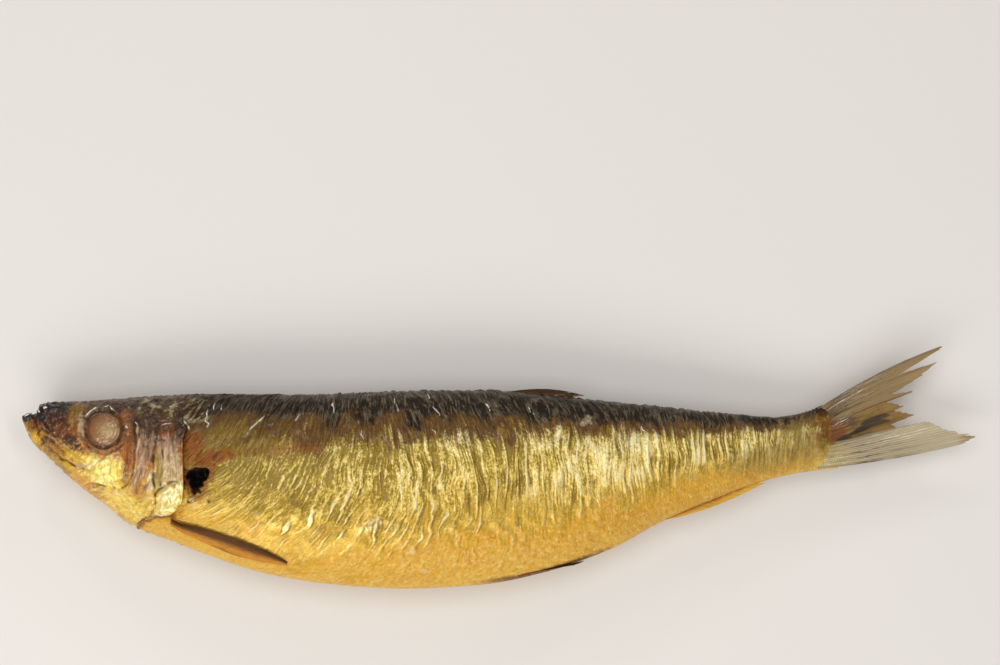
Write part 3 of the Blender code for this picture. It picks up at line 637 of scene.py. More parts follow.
def skin_at_height(station, height):
    """Width out to the skin at a height in side view."""
    top, bottom, level, wide = section(np.asarray(station, float))
    up = height >= level
    roundness = np.where(up, BACK_ROUNDNESS, KEEL_ROUNDNESS)
    share = np.clip((height - level) / np.where(up, top - level, bottom - level), 0, 1)
    return wide * (1 - share**roundness) ** (1 / roundness)


def placed(station, height, out):
    """The point in the row's frame, in millimetres, that a station, height and width give."""
    station, height, out = np.broadcast_arrays(station, height, out)
    across = through(SPINE, station) + out
    return np.stack([station - TOTAL_LENGTH / 2, height - MID_HEIGHT, across], axis=-1)


def on_flank(station, height, side, lift):
    """The points that these stand over, on the skin of the left (1) or the right (-1) flank."""
    return placed(station, height, side * (skin_at_height(station, height) + lift))


class Noise:
    """A random field that repeats every so many periods, read at any place."""

    PERIODS = 64
    STEPS = 16

    def __init__(self, seed, stretch):
        count = self.PERIODS * self.STEPS
        rate = np.fft.fftfreq(count, 1 / self.STEPS)
        across, along = np.meshgrid(rate, rate * stretch, indexing="ij")
        reach = np.hypot(across, along)
        band = bell((reach - 1) / 0.42)
        if stretch > 1:
            band = bell((np.abs(across) - 1) / 0.4) * np.exp(-(along**2) / 0.5)
        white = np.random.default_rng(seed).standard_normal((count, count))
        field = np.fft.ifft2(np.fft.fft2(white) * band).real
        self.field = field / field.std()

    def at(self, across, along, size, shift=0.0):
        """The field's value, about 1 strong, with a period of size."""
        count = self.PERIODS * self.STEPS
        x = (across / size + shift * 7.31) * self.STEPS
        y = (along / size + shift * 3.77) * self.STEPS
        i, j = np.floor(x).astype(int), np.floor(y).astype(int)
        u, v = x - i, y - j
        i0, j0, i1, j1 = i % count, j % count, (i + 1) % count, (j + 1) % count
        low = self.field[i0, j0] * (1 - u) + self.field[i1, j0] * u
        high = self.field[i0, j1] * (1 - u) + self.field[i1, j1] * u
        return low * (1 - v) + high * v

    def uneven(self, what, across, along):
        """The unevenness of that name, from -1 to 1 times its strength or a little more."""
        return sum(
            strength * self.at(across, along * squash, size, shift)
            for strength, size, squash, shift in UNEVEN[what]
        )


def distance_to_path(station, height, path):
    """Each place's distance from a smooth path of (station, height) points."""
    number = np.linspace(0, len(path) - 1, 6 * len(path))
    points = np.stack([through(list(enumerate(values)), number) for values in zip(*path)], axis=1)
    nearest = np.full(station.shape, np.inf)
    for start, end in zip(points, points[1:]):
        run = end - start
        t = ((station - start[0]) * run[0] + (height - start[1]) * run[1]) / max(run @ run, 1e-9)
        t = np.clip(t, 0, 1)
        gap = np.hypot(station - start[0] - t * run[0], height - start[1] - t * run[1])
        nearest = np.minimum(nearest, gap)
    return nearest


def oval_reach(station, height, oval):
    """0 at an oval's centre, 1 on its edge."""
    centre_s, centre_h, along, up, turn = oval
    c, s = math.cos(math.radians(turn)), math.sin(math.radians(turn))
    ds, dh = station - centre_s, height - centre_h
    return np.hypot((ds * c + dh * s) / along, (dh * c - ds * s) / up)


def ovals_mask(station, height, ovals, wobble):
    """1 inside ovals and 0 outside them, with a soft, uneven edge."""
    mask = np.zeros(station.shape)
    for oval in ovals:
        reach = oval_reach(station, height, oval) + 0.16 * wobble
        mask = np.maximum(mask, falloff(0.5, 1.4, reach))
    return mask


def patch_mask(station, height, name, wobble):
    """1 inside the patch of that name and 0 outside it, with a soft, uneven edge."""
    if name in OVALS:
        return ovals_mask(station, height, OVALS[name], wobble)
    path, half_width = BANDS[name]
    reach = distance_to_path(station, height, path) / half_width + 0.2 * wobble
    return falloff(0.2, 1.5, reach)


def glint_fold_mask(station, height, mottle):
    """1 along the middle of each sharp fold with a painted highlight, thinning out towards its ends."""
    gleam = np.zeros_like(station)
    shake = mottle.uneven("gleam", station, height)
    for path, half_width in GLINT_FOLDS:
        (start_s, start_h), (end_s, end_h) = path[0], path[-1]
        middle = np.hypot(station - (start_s + end_s) / 2, height - (start_h + end_h) / 2)
        taper = falloff(0.35, 1.15, 2 * middle / math.hypot(end_s - start_s, end_h - start_h))
        reach = distance_to_path(station + shake, height + shake, path) / half_width
        gleam = np.maximum(gleam, bell(reach) * taper)
    return gleam


def hole_reach(station, height):
    """How far inside the rod hole's edge a place is, in millimetres. It is negative outside."""
    centre = np.mean(ROD_HOLE, axis=0)
    inside = np.full(station.shape, np.inf)
    for (s0, h0), (s1, h1) in zip(ROD_HOLE, ROD_HOLE[1:] + ROD_HOLE[:1]):
        length = math.hypot(s1 - s0, h1 - h0)
        across = ((s1 - s0) * (height - h0) - (h1 - h0) * (station - s0)) / length
        sign = math.copysign(1, (s1 - s0) * (centre[1] - h0) - (h1 - h0) * (centre[0] - s0))
        soft = np.exp(-across * sign / ROD_HOLE_ROUNDING)
        inside = soft if np.isinf(inside).all() else inside + soft
    return -ROD_HOLE_ROUNDING * np.log(np.maximum(inside, 1e-9))


def gill_edge_at(angle):
    """The station where the gill cover ends, for each angle round the body."""
    station = np.linspace(GILL_EDGE[0][1], GILL_EDGE[-3][1], GILL_EDGE_STEPS)[:, None]
    height, _ = skin_at_angle(station, angle[None])
    behind = station >= through(GILL_EDGE, height)
    behind[-1] = True
    edge = station[behind.argmax(axis=0), 0]
    return np.convolve(np.concatenate([edge[-2:], edge, edge[:2]]), GILL_EDGE_BLUR, "valid")


def normals_of(points):
    """Outward normals of a grid of rings, with the second axis closed round the body."""
    along = np.gradient(points, axis=0)
    around = (np.roll(points, -1, axis=1) - np.roll(points, 1, axis=1)) / 2
    normal = np.cross(around, along)
    return normal / np.maximum(np.linalg.norm(normal, axis=-1, keepdims=True), 1e-9)


def body_grid(sizes):
    """The whole body as rings of points, with what each point's place is, and its relief."""
    lip = GILL_STATION + np.array([ring[0] for ring in LIP_RINGS])
    crevice = GILL_STATION + np.array([ring[0] for ring in CREVICE_RINGS])
    head = GILL_STATION * np.linspace(0, 1, sizes.head_rings, endpoint=False) ** RING_CROWDING
    trunk = np.linspace(crevice[-1], STALK_END, sizes.trunk_rings + 1)[1:]
    stations = np.concatenate([head, lip, crevice, trunk])
    split = len(head) + len(lip)
    upper = np.linspace(0, math.pi, sizes.upper_points, endpoint=False)
    lower = np.linspace(math.pi, 2 * math.pi, sizes.under_points, endpoint=False)
    angle = np.concatenate([upper, lower])

    shift = gill_edge_at(angle) - GILL_STATION
    front = smoothstep(GILL_STATION - GILL_BLEND_FRONT, GILL_STATION, stations)
    back = falloff(GILL_STATION, GILL_STATION + GILL_BLEND_BACK, stations)
    station = stations[:, None] + (front * back)[:, None] * shift[None]
    height, out = skin_at_angle(station, angle[None])
    out = out * (1 - TAIL_ROOT_FLATTENING * smoothstep(TAIL_ROOT_STATION, STALK_END, station))
    points = placed(station, height, out)
    normal = normals_of(points)
    gaps = np.linalg.norm(np.diff(points, axis=1, append=points[:, :1]), axis=-1)
    from_back = np.concatenate([np.zeros((len(stations), 1)), np.cumsum(gaps, axis=1)[:, :-1]], axis=1)
    girth = gaps.sum(axis=1)[:, None]
    arc = np.where(from_back > girth / 2, from_back - girth, from_back)
    arc[:, len(upper):] = (from_back - girth)[:, len(upper):]
    top, bottom, _, _ = section(station)
    share = np.clip((top - height) / (top - bottom), 0, 1)

    strength = smoothstep(FLAP_BOTTOM_HEIGHT, FLAP_BOTTOM_HEIGHT + FLAP_FADE, height)
    strength *= falloff(FLAP_TOP_HEIGHT - FLAP_FADE, FLAP_TOP_HEIGHT, height)
    rise = smoothstep(GILL_STATION - FLAP_RISE_LENGTH, GILL_STATION, stations) * LIP_RINGS[0][1]
    lift, pull = np.where(stations < GILL_STATION, rise, 0), np.zeros_like(stations)
    for ring, (_, outwards, along_fish) in enumerate(LIP_RINGS + CREVICE_RINGS, start=len(head)):
        lift[ring], pull[ring] = outwards, along_fish
    points += normal * (strength * lift[:, None])[..., None]
    points[..., 0] += strength * pull[:, None]
    return {
        "split": split,
        "points": points,
        "normal": normal,
        "station": station,
        "height": height,
        "arc": arc,
        "share": share,
        "side": np.where(np.arange(len(angle)) < len(upper), 1.0, -1.0) * np.ones_like(station),
    }


def fold_relief(grid, sizes, noises):
    """(rise of the skin's folds, their tone and painted light, even folds up to each place, shortness).
    """
    station, arc, share = grid["station"], grid["arc"], grid["share"]
    mottle = noises["mottle"]
    lean = np.tan(np.radians(from_table(FOLD_LEAN, station, share)))
    depth = from_table(FOLD_DEPTH, station, share)
    short = from_table(FOLD_SHORTNESS, station, share)
    step = np.diff(arc, axis=1, prepend=arc[:, :1])
    step = np.where(np.abs(step) > SIDE_JUMP, 0, step) * grid["side"]
    run = np.cumsum(lean * step, axis=1)
    half = int((grid["side"][0] > 0).sum())
    rows = np.arange(len(station))
    middle = np.abs(share - 0.5)
    run[:, :half] -= run[rows, middle[:, :half].argmin(axis=1)][:, None]
    run[:, half:] -= run[rows, half + middle[:, half:].argmin(axis=1)][:, None]
    along = station + run
    bend = along + mottle.uneven("fold_bend", along, arc)
    steps = np.arange(-FOLD_MARGIN, TOTAL_LENGTH + FOLD_MARGIN, FOLD_STEP)
    even = np.interp(bend, steps, np.cumsum(FOLD_STEP / through(FOLD_SPREAD, steps)))

    wandering = even + mottle.uneven("fold_wander", along, arc)
    long_fold, short_fold, fine_fold = (
        noises[noise].at(place, arc * squash, sizes.fold_spacing * spacing, shift)
        for place, (noise, spacing, squash, shift) in zip((even, wandering, even), FOLD_KINDS)
    )
    crest = bell(long_fold / CREST_WIDTH, 4) * (1 - short)
    crest = crest + smoothstep(*SHORT_CREST, short_fold) * short
    fine = (bell(fine_fold / FINE_CREST_WIDTH) - 0.5) * (1 - FINE_LOSS * short)
    usual = 0.62 - 0.34 * short
    patchy = 0.75 + mottle.uneven("fold_depth", station, arc)
    fade = smoothstep(GILL_STATION + 0.3, GILL_STATION + 5.0, station)
    fade *= falloff(0.965, 0.995, share) * falloff(209.0, 213.5, station)
    amount = depth * np.clip(patchy, 0.25, 1.4) * fade
    swell = mottle.uneven("swell", station, arc)
    rise = sizes.fold_height * amount * (crest - 0.5 + FINE_RISE * fine) + swell * fade
    # The gold's own tone, with painted highlights on the folds' crests and painted shade in their creases
    shine = from_table(GOLD_TONE_AND_LIGHT, station, share)
    contrast = (0.85 + 0.4 * smoothstep(150.0, 190.0, station)) * np.clip(amount * 1.5, 0, 1)
    shine += (CREST_PAINTED_LIGHT * np.maximum(crest - usual, -0.3) + FINE_FOLD_PAINTED_LIGHT * fine) * contrast
    return rise, shine, even, short


def cover_curve(station, height):
    """How far the ribs of the gill cover sweep towards the jaw, growing downwards."""
    front = smoothstep(26.0, 31.0, station) * falloff(33.5, 38.5, station)
    behind = smoothstep(36.5, 40.0, station) * falloff(42.0, 44.0, station)
    down = np.minimum(height, 0) ** 2
    return RIB_CURVE * down * (front - 0.7 * behind)


def head_relief(grid, noises):
    """(rise, painted light and shade) of the head's bones, creases and eye sockets."""
    station, height, arc = grid["station"], grid["height"], grid["arc"]
    ribs, mottle = noises["crinkles"], noises["mottle"]
    rise, tint = np.zeros_like(station), np.zeros_like(station)
    shake_s = mottle.uneven("stroke_along", station, height)
    shake_h = mottle.uneven("stroke_up", station, height)
    patchy = np.clip(0.7 + mottle.uneven("stroke_tint", station, height), 0.15, 1.2)
    # Each stroke is raised or sunk, and painted lighter on ridges and darker in creases: painted light
    for path, half_width, high, line in STROKES:
        reach = distance_to_path(station + shake_s, height + shake_h, path) / half_width
        rise += high * bell(reach)
        tint += line * patchy * bell(reach * 1.1)
    for *oval, high in DOMES:
        rise += high * falloff(0.2, 1.0, oval_reach(station, height, oval))
    from_eye = np.hypot(station - EYE[0], height - EYE[1])
    rise += through(SOCKET, from_eye)
    under_eye = smoothstep(0.5, 3.5, EYE[1] - height + 0.35 * (EYE[0] - station))
    # Painted shade in a ring round the eye
    tint -= 0.9 * patchy * bell((from_eye - EYE_RING[0]) / EYE_RING[1])
    for distance, high, line in EYE_FOLDS:
        fold = under_eye * bell((from_eye - distance + 0.6 * shake_s) / 0.3)
        rise += high * fold
        tint += line * patchy * fold
    upper, lower = through(JAW_UPPER_EDGE, station), through(JAW_LOWER_EDGE, station)
    on_jaw = smoothstep(0.0, 0.5, upper - height) * smoothstep(0.0, 0.35, height - lower)
    on_jaw *= smoothstep(4.6, 5.6, station) * falloff(16.8, 17.6, station)
    rise += JAW_RISE * on_jaw

    # Fine ribs: curved over the gill cover, along the jaws and along the throat
    slant = math.radians(JAW_SLANT)
    across_jaw = height * math.cos(slant) - station * math.sin(slant)
    along_jaw = station * math.cos(slant) + height * math.sin(slant)
    jaw_ribs = ribs.at(across_jaw, along_jaw, 1.3, 8.0)
    throat = np.clip(ovals_mask(station, height, OVALS["throat"], 0.0) + on_jaw, 0, 1)
    throat *= falloff(0.88, 0.97, grid["share"])
    # The ribs get painted highlights on their tops and painted shade between them
    rise += THROAT_RIB_RISE * throat * jaw_ribs
    tint += RIB_PAINTED_LIGHT * throat * jaw_ribs
    cover_ribs = ribs.at(station + cover_curve(station, height), height * 0.6, 1.5, 9.0)
    cover = smoothstep(28.5, 31.5, station) * smoothstep(0.0, 4.0, 2.0 - height)
    cover *= falloff(0.82, 0.93, grid["share"])
    rise += COVER_RIB_RISE * cover * cover_ribs
    tint += RIB_PAINTED_LIGHT * cover * cover_ribs
    rise += smoothstep(4.0, 5.2, from_eye) * mottle.uneven("head_skin", station, arc)
    rough = smoothstep(2.0, 7.0, height) * smoothstep(26.0, 30.0, station)
    rise += rough * mottle.uneven("head_top", station, arc)
    return rise * smoothstep(0.0, 2.0, station), np.clip(tint, -1, 1)


def tone_of(grid, mottle):
    """0 on the back, then up by one at each change of colour, and 5 on the keel."""
    station, share = grid["station"], grid["share"]
    ragged = mottle.uneven("tone_edge", grid["along"], grid["arc"])
    ragged += mottle.uneven("tone_drift", station, grid["arc"])
    share = np.clip(share + ragged * smoothstep(0.02, 0.2, share), 0, 1)
    edges = [np.interp(station, TONE_STATIONS, row) for row in TONE_SHARES]
    edges = [np.zeros_like(station), *edges, np.ones_like(station)]
    tone = np.zeros_like(station)
    for low, high in zip(edges, edges[1:]):
        tone += np.clip((share - low) / (high - low), 0, 1)
    return tone


def add_mesh(name, points, faces, normals=None):
    """A smooth mesh object from points in millimetres."""
    mesh = bpy.data.meshes.new(name)
    mesh.from_pydata((points.reshape(-1, 3) * MM).tolist(), [], faces)
    mesh.shade_smooth()
    if normals is not None:
        mesh.normals_split_custom_set_from_vertices(normals.reshape(-1, 3).tolist())
    made = bpy.data.objects.new(name, mesh)
    bpy.context.scene.collection.objects.link(made)
    return made


def note(made, name, values):
    """Keeps a number for each of a mesh's points, for its material to read."""
    values = np.asarray(values, np.float32)
    if values.shape[-1] == 3 and values.size == 3 * len(made.data.vertices):
        layer = made.data.attributes.new(name, "FLOAT_VECTOR", "POINT")
        layer.data.foreach_set("vector", values.ravel())
    else:
        layer = made.data.attributes.new(name, "FLOAT", "POINT")
        layer.data.foreach_set("value", values.ravel())


def note_sheet(made, values):
    """Keeps each grid of numbers on both faces of a closed sheet."""
    for name, grid in values.items():
        note(made, name, np.concatenate([grid, grid]))


def dress(made, material):
    """Gives a piece its material, hides the part it stands for, and sets what it moves with."""
    made.data.materials.append(material)
    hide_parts(NODE)
    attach(made, BODY)


def ring_faces(rings, around, close_start, close_end):
    """The faces between rings of points, with the first and the last ring closed if so wanted."""
    i, j = np.meshgrid(np.arange(rings - 1) * around, np.arange(around), indexing="ij")
    after = (j + 1) % around
    faces = np.stack([i + j, i + after, i + around + after, i + around + j], -1)
    faces = faces.reshape(-1, 4).tolist()
    if close_start:
        faces.append(list(range(around))[::-1])
    if close_end:
        faces.append([(rings - 1) * around + k for k in range(around)])
    return faces


def sheet_mesh(name, points, thickness):
    """A closed sheet over a grid of points, as thick at each point as its thickness says."""
    across, along = np.gradient(points, axis=0), np.gradient(points, axis=1)
    normal = np.cross(across, along)
    normal /= np.maximum(np.linalg.norm(normal, axis=-1, keepdims=True), 1e-9)
    half = normal * thickness[..., None] / 2
    columns, lines = points.shape[:2]
    count = columns * lines
    i, j = np.meshgrid(np.arange(columns - 1), np.arange(lines - 1), indexing="ij")
    near = i * lines + j
    faces = np.stack([near, near + 1, near + lines + 1, near + lines], -1).reshape(-1, 4)
    back = faces[:, ::-1] + count
    rim = [c * lines for c in range(columns)]
    rim += [(columns - 1) * lines + k for k in range(1, lines)]
    rim += [c * lines + lines - 1 for c in range(columns - 2, -1, -1)]
    rim += [k for k in range(lines - 2, 0, -1)]
    edge = [(a, b, b + count, a + count) for a, b in zip(rim, rim[1:] + rim[:1])]
    faces = faces.tolist() + back.tolist() + edge
    made = add_mesh(name, np.concatenate([points + half, points - half]), faces)
    made.data.set_sharp_from_angle(angle=math.radians(60))
    return made


def fan_points(roots, tips, bow, per_ray, rows):
    """A grid of points over rays from roots to tips. bow moves the middle of each ray by (x, y, z)."""
    ray = np.arange(len(roots))
    between = np.linspace(0, len(roots) - 1, (len(roots) - 1) * per_ray + 1)
    roots, tips, bow = (
        np.stack([np.interp(between, ray, column) for column in values.T], axis=1)[:, None]
        for values in (roots, tips, bow)
    )
    share = np.linspace(0, 1, rows + 1)[None, :, None]
    return roots * (1 - share) + tips * share + bow * 4 * share * (1 - share)


def sheet_places(points, rays):
    """(share along the rays, number of the ray) for a grid of points over that many rays."""
    columns, rows = points.shape[:2]
    along = np.linspace(0, 1, rows)[None] * np.ones((columns, 1))
    return along, np.linspace(0, rays - 1, columns)[:, None] * np.ones_like(along)


def ridges(number):
    """1 at every whole number, and 0 half way between them."""
    return 0.5 + 0.5 * np.cos(number * 2 * math.pi)


class Value:
    """One output of a finish's nodes. Arithmetic on it adds the Math nodes that work it out."""

    def __init__(self, finish, socket):
        self.finish = finish
        self.socket = socket

    def math(self, operation, first, second):
        return self.finish.add("ShaderNodeMath", {"operation": operation}, {0: first, 1: second})

    def __add__(self, other):
        return self.math("ADD", self, other)

    __radd__ = __add__

    def __mul__(self, other):
        return self.math("MULTIPLY", self, other)

    __rmul__ = __mul__

    def __sub__(self, other):
        return self.math("SUBTRACT", self, other)

    def __rsub__(self, other):
        return self.math("SUBTRACT", other, self)

    def __truediv__(self, other):
        return self.math("DIVIDE", self, other)

    def __rtruediv__(self, other):
        return self.math("DIVIDE", other, self)

    def __pow__(self, other):
        return self.math("POWER", self, other)

    def wave(self):
        """1 at every whole number, and 0 half way between them."""
        return self.math("COSINE", self * (2 * math.pi), 0.0) * 0.5 + 0.5

    def clamped(self):
        return self.finish.add("ShaderNodeClamp", {}, {"Value": self})

    def between(self, low, high):
        """0 below low, 1 above high, and smooth between."""
        return self.finish.add(
            "ShaderNodeMapRange",
            {"interpolation_type": "SMOOTHSTEP"},
            {"Value": self, "From Min": low, "From Max": high},
        )


class Finish:
    """A material and its nodes."""

    def __init__(self, name):
        self.material = bpy.data.materials.new(name)
        self.material.use_nodes = True
        self.tree = self.material.node_tree
        self.tree.nodes.clear()

    def add(self, kind, settings=None, sockets=None, output=0):
        """Adds a node: first its settings, then its sockets' values or links."""
        node = self.tree.nodes.new(kind)
        for name, setting in (settings or {}).items():
            if name == "stops":
                self.set_stops(node.color_ramp, setting)
            else:
                setattr(node, name, setting)
        for name, value in (sockets or {}).items():
            if isinstance(value, Value):
                self.tree.links.new(value.socket, node.inputs[name])
            else:
                node.inputs[name].default_value = value
        return Value(self, node.outputs[output]) if node.outputs else node

    @staticmethod
    def set_stops(ramp, stops):
        while len(ramp.elements) < len(stops):
            ramp.elements.new(0.5)
        for element, (place, colour) in zip(ramp.elements, stops):
            element.position = place
            element.color = (*colour, 1.0)

    def noted(self, name):
        return self.add("ShaderNodeAttribute", {"attribute_name": name}, output=2)

    def noted_place(self, name, stretch=(1.0, 1.0, 1.0)):
        place = self.add("ShaderNodeAttribute", {"attribute_name": name}, output=1)
        return self.add("ShaderNodeVectorMath", {"operation": "MULTIPLY"}, {0: place, 1: stretch})

    def noise(self, place, scale, detail=2.0, roughness=0.5, distortion=0.0):
        sockets = {"Vector": place, "Scale": scale, "Detail": detail}
        sockets |= {"Roughness": roughness, "Distortion": distortion}
        return self.add("ShaderNodeTexNoise", {}, sockets)

    def grain(self, along, around, detail=3.0, roughness=0.6):
        """Noise by a piece's own grain, with so many periods to a millimetre each way."""
        return self.noise(self.noted_place("grain", (along, around, 1.0)), 1.0, detail, roughness)

    def ramp(self, value, stops):
        return self.add("ShaderNodeValToRGB", {"stops": stops}, {"Fac": value})

    def mix(self, first, second, factor, how="MIX"):
        """Colours mixed by a factor."""
        first, second = ((*c, 1.0) if not isinstance(c, Value) else c for c in (first, second))
        settings = {"data_type": "RGBA", "blend_type": how}
        return self.add("ShaderNodeMix", settings, {0: factor, 6: first, 7: second}, output=2)

    def layers(self, colour, *layers):
        """Lays (colour, mask) pairs over a colour, one after the other."""
        for paint, mask in layers:
            colour = self.mix(colour, paint, mask)
        return colour

    def shaded(self, colour, amount):
        """A colour made darker or lighter by an amount."""
        grey = {name: amount for name in ("Red", "Green", "Blue")}
        return self.mix(colour, self.add("ShaderNodeCombineColor", {}, grey), 1.0, "MULTIPLY")

    def paint(self, colour, colours, kind, fibre):
        """Lays a skin's painted patches over a colour. Their edges fray along the fibre."""
        for patch, paint, amount in PAINTED[kind]:
            mask = self.noted(patch)
            edge = mask * (1 - mask) * (fibre - 0.5) * 5
            colour = self.mix(colour, getattr(colours, paint), (mask + edge).clamped() * amount)
        return colour

    def bump(self, height, distance, strength=1.0, under=None):
        sockets = {"Height": height, "Distance": distance, "Strength": strength}
        if under is not None:
            sockets["Normal"] = under
        return self.add("ShaderNodeBump", {}, sockets)

    def surface(self, sockets):
        shader = self.add("ShaderNodeBsdfPrincipled", {}, sockets)
        self.add("ShaderNodeOutputMaterial", {}, {"Surface": shader})
        return self.material


def shade(red, green, blue):
    """A colour as it looks on a screen, as the scene's own linear values."""
    screen = (red / 255, green / 255, blue / 255)
    return tuple(c / 12.92 if c <= 0.04045 else ((c + 0.055) / 1.055) ** 2.4 for c in screen)


def colour_property(name, description, *screen):
    """A colour that the panel shows, from its values on a screen."""
    words = {"name": name.replace("_", " ").capitalize(), "description": description}
    return bpy.props.FloatVectorProperty(
        **words, subtype="COLOR", size=3, min=0, max=1, default=shade(*screen)
    )


class HerringSizes(bpy.types.PropertyGroup):
    """How deep the skin's folds are, and how finely the pieces are divided"""

    fold_height: bpy.props.FloatProperty(
        name="Fold height", description="Height of the skin's folds in millimetres", default=0.46, min=0
    )
    fold_spacing: bpy.props.FloatProperty(
        name="Fold spacing", description="Widest space between folds in millimetres", default=2.9, min=0.5
    )
    head_rings: bpy.props.IntProperty(
        name="Head rings", description="Rings of points along the head", default=325, min=20
    )
    trunk_rings: bpy.props.IntProperty(
        name="Trunk rings", description="Rings of points along the trunk", default=690, min=20
    )
    upper_points: bpy.props.IntProperty(
        name="Upper points", description="Points of a ring on the upper flank", default=195, min=12
    )
    under_points: bpy.props.IntProperty(
        name="Under points", description="Points of a ring on the flank below", default=105, min=12
    )


class HerringColours(bpy.types.PropertyGroup):
    """The fish's colours"""

    __annotations__ = {name: colour_property(name, *row) for name, row in COLOURS.items()}


def nape_tones(skin, colour, colours, spots):
    """The dark nape with its greenish spots, which the head's skin and the trunk's share."""
    nape = skin.noted("nape_pale")
    return skin.layers(
        colour,
        (colours.nape, skin.noted("nape_dark") * 0.85),
        (colours.back, nape * 0.8),
        (colours.umber, nape * spots.between(0.4, 0.52) * 0.8),
        (colours.olive_brown, nape * spots.between(0.5, 0.56) * 0.4),
        (colours.lichen, nape * spots.between(0.52, 0.6) * 0.8),
    )


def body_skin(colours):
    """The trunk's skin: metallic gold over amber, dark on the back, with painted brown shade in its
    creases and painted highlights on its crests.
    """
    skin = Finish("golden_skin")
    streak = skin.grain(0.9, 0.16, 4.0, 0.6)
    blotch = skin.grain(0.13, 0.13)
    fleck = skin.grain(2.2, 1.5, 3.0, 0.75)
    thread = skin.grain(1.5, 0.2, 3.0, 0.75)
    lump = skin.grain(0.5, 0.3)
    pores = skin.grain(1.1, 0.85, 3.0, 0.7)
    spots = skin.grain(0.34, 0.38)
    tone = skin.noted("tone") + (streak - 0.5) * 0.9 + (blotch - 0.5) * 0.3 + (fleck - 0.5) * 0.8
    crinkled = skin.noted("crinkled")
    fibre = (thread - 0.5) * (1 - crinkled * 0.45)
    # The gold's tone and the folds' painted light, made uneven by fine noise
    shine = skin.noted("shine") + fibre * 1.1 + (fleck - 0.5) * 0.8 + (blotch - 0.5) * 0.4
    shine = shine + (pores - 0.5) * (0.6 + crinkled * 0.4) + (lump - 0.5) * 0.5
    colour = skin.ramp(
        tone / 5,
        [
            (0.0, colours.back), (0.16, colours.back), (0.25, colours.brown), (0.34, colours.brown),
            (0.44, colours.olive), (0.54, colours.gold), (0.66, colours.amber), (0.8, colours.belly),
            (1.0, colours.keel),
        ],
    )
    # Painted light on the gold: painted shade in the creases, gold between, painted highlights on crests
    painted_lit_gold = skin.ramp(
        shine,
        [(0.16, colours.crease), (0.36, colours.olive), (0.52, colours.gold), (0.74, colours.crest)],
    )
    painted_lit_gold = skin.mix(painted_lit_gold, colours.amber, tone.between(2.2, 3.2) * 0.4)
    lit = (shine - 0.4) * 1.1
    dark = 1 - tone.between(0.8, 1.5)
    below = tone.between(2.6, 3.6)
    low_gold = tone.between(2.4, 3.0) * (1 - tone).between(-3.8, -3.0)
    brown = tone.between(0.9, 1.3) * (1 - tone.between(1.7, 2.2))
    golden = (tone + lit).between(1.5, 2.4) * (1 - (tone - lit).between(3.0, 4.2) * 0.9)
    colour = skin.layers(
        colour,
        (painted_lit_gold, golden * 0.92),
        (colours.back_sheen, dark * lump.between(0.5, 0.66) * 0.4),
        (colours.back_sheen, dark * thread.between(0.53, 0.62) * 0.6),
        (colours.back, brown * thread.between(0.5, 0.62) * 0.35),
        (colours.olive, brown * (1 - thread).between(0.5, 0.64) * 0.5),
        (colours.blood, brown * lump.between(0.5, 0.7) * 0.4),
        (colours.orange, blotch.between(0.5, 0.75) * below * 0.3),
        (colours.orange, pores.between(0.52, 0.66) * below * 0.5),
        (colours.crest, (1 - pores).between(0.5, 0.68) * below * 0.3),
        (colours.olive, low_gold * lump.between(0.52, 0.66) * 0.4),
        (colours.keel, lump.between(0.48, 0.62) * tone.between(3.4, 4.2) * 0.3),
        (colours.crease, fleck.between(0.58, 0.75) * tone.between(2.8, 3.6) * 0.2),
    )
    colour = skin.paint(colour, colours, "trunk", fleck)
    rusty = (skin.noted("rust") + skin.noted("rust_line") * 0.6).clamped()
    dusky = skin.noted("behind_gill")
    colour = skin.layers(
        colour,
        (colours.orange, rusty * thread.between(0.48, 0.62) * 0.75),
        (colours.blood, rusty * lump.between(0.48, 0.6) * 0.7),
        (colours.olive, rusty * spots.between(0.52, 0.66) * 0.5),
        (colours.line, dusky * thread.between(0.5, 0.6) * 0.7),
        (colours.gold, dusky * (1 - thread).between(0.54, 0.66) * 0.4),
    )
    colour = nape_tones(skin, colour, colours, spots)
    hole, glint_lines = skin.noted("hole"), skin.noted("gleam").between(0.2, 0.8)
    colour = skin.layers(
        colour,
        (colours.blood, hole.between(0.0, 0.25)),
        # Painted shade: the inside of the rod hole is painted black
        (colours.char, hole.between(0.1, 0.5)),
        (colours.bone, skin.noted("scale") * fleck.between(0.3, 0.6) * 0.5),
        # Painted highlights: white glints along the sharpest folds
        (colours.gleam, glint_lines * streak.between(0.36, 0.5)),
    )
    colour = skin.shaded(colour, 0.66 + fleck * 0.68)

    covered = 1 - hole.between(0.0, 0.4)
    dull = (rusty + skin.noted("tail_base") + skin.noted("tail_dark")).clamped()
    metal = (golden * 0.6 + 0.05) * covered * (1 - dull * 0.75)
    normal = skin.bump(streak * (1 - below * 0.6), 0.00025, 0.6)
    fine_relief = fibre * (1 - below * 0.7) + pores * (below + crinkled).clamped() * 0.5
    normal = skin.bump(fine_relief, 0.0003, 0.9, normal)
    normal = skin.bump(fleck, 0.00012, 0.9, normal)
    return skin.surface({
        "Base Color": colour,
        "Metallic": metal,
        "Roughness": 0.22 + 0.2 * fleck + tone.between(3.0, 4.4) * 0.1,
        "Normal": normal,
        "Specular IOR Level": 0.2,
        "Specular Tint": OIL_TINT,
        "Coat Weight": (0.5 - dark * 0.26 - tone.between(2.8, 4.0) * 0.3) * covered * (1 - dull * 0.6),
        "Coat Roughness": 0.15,
        "Coat IOR": 1.36,
    })


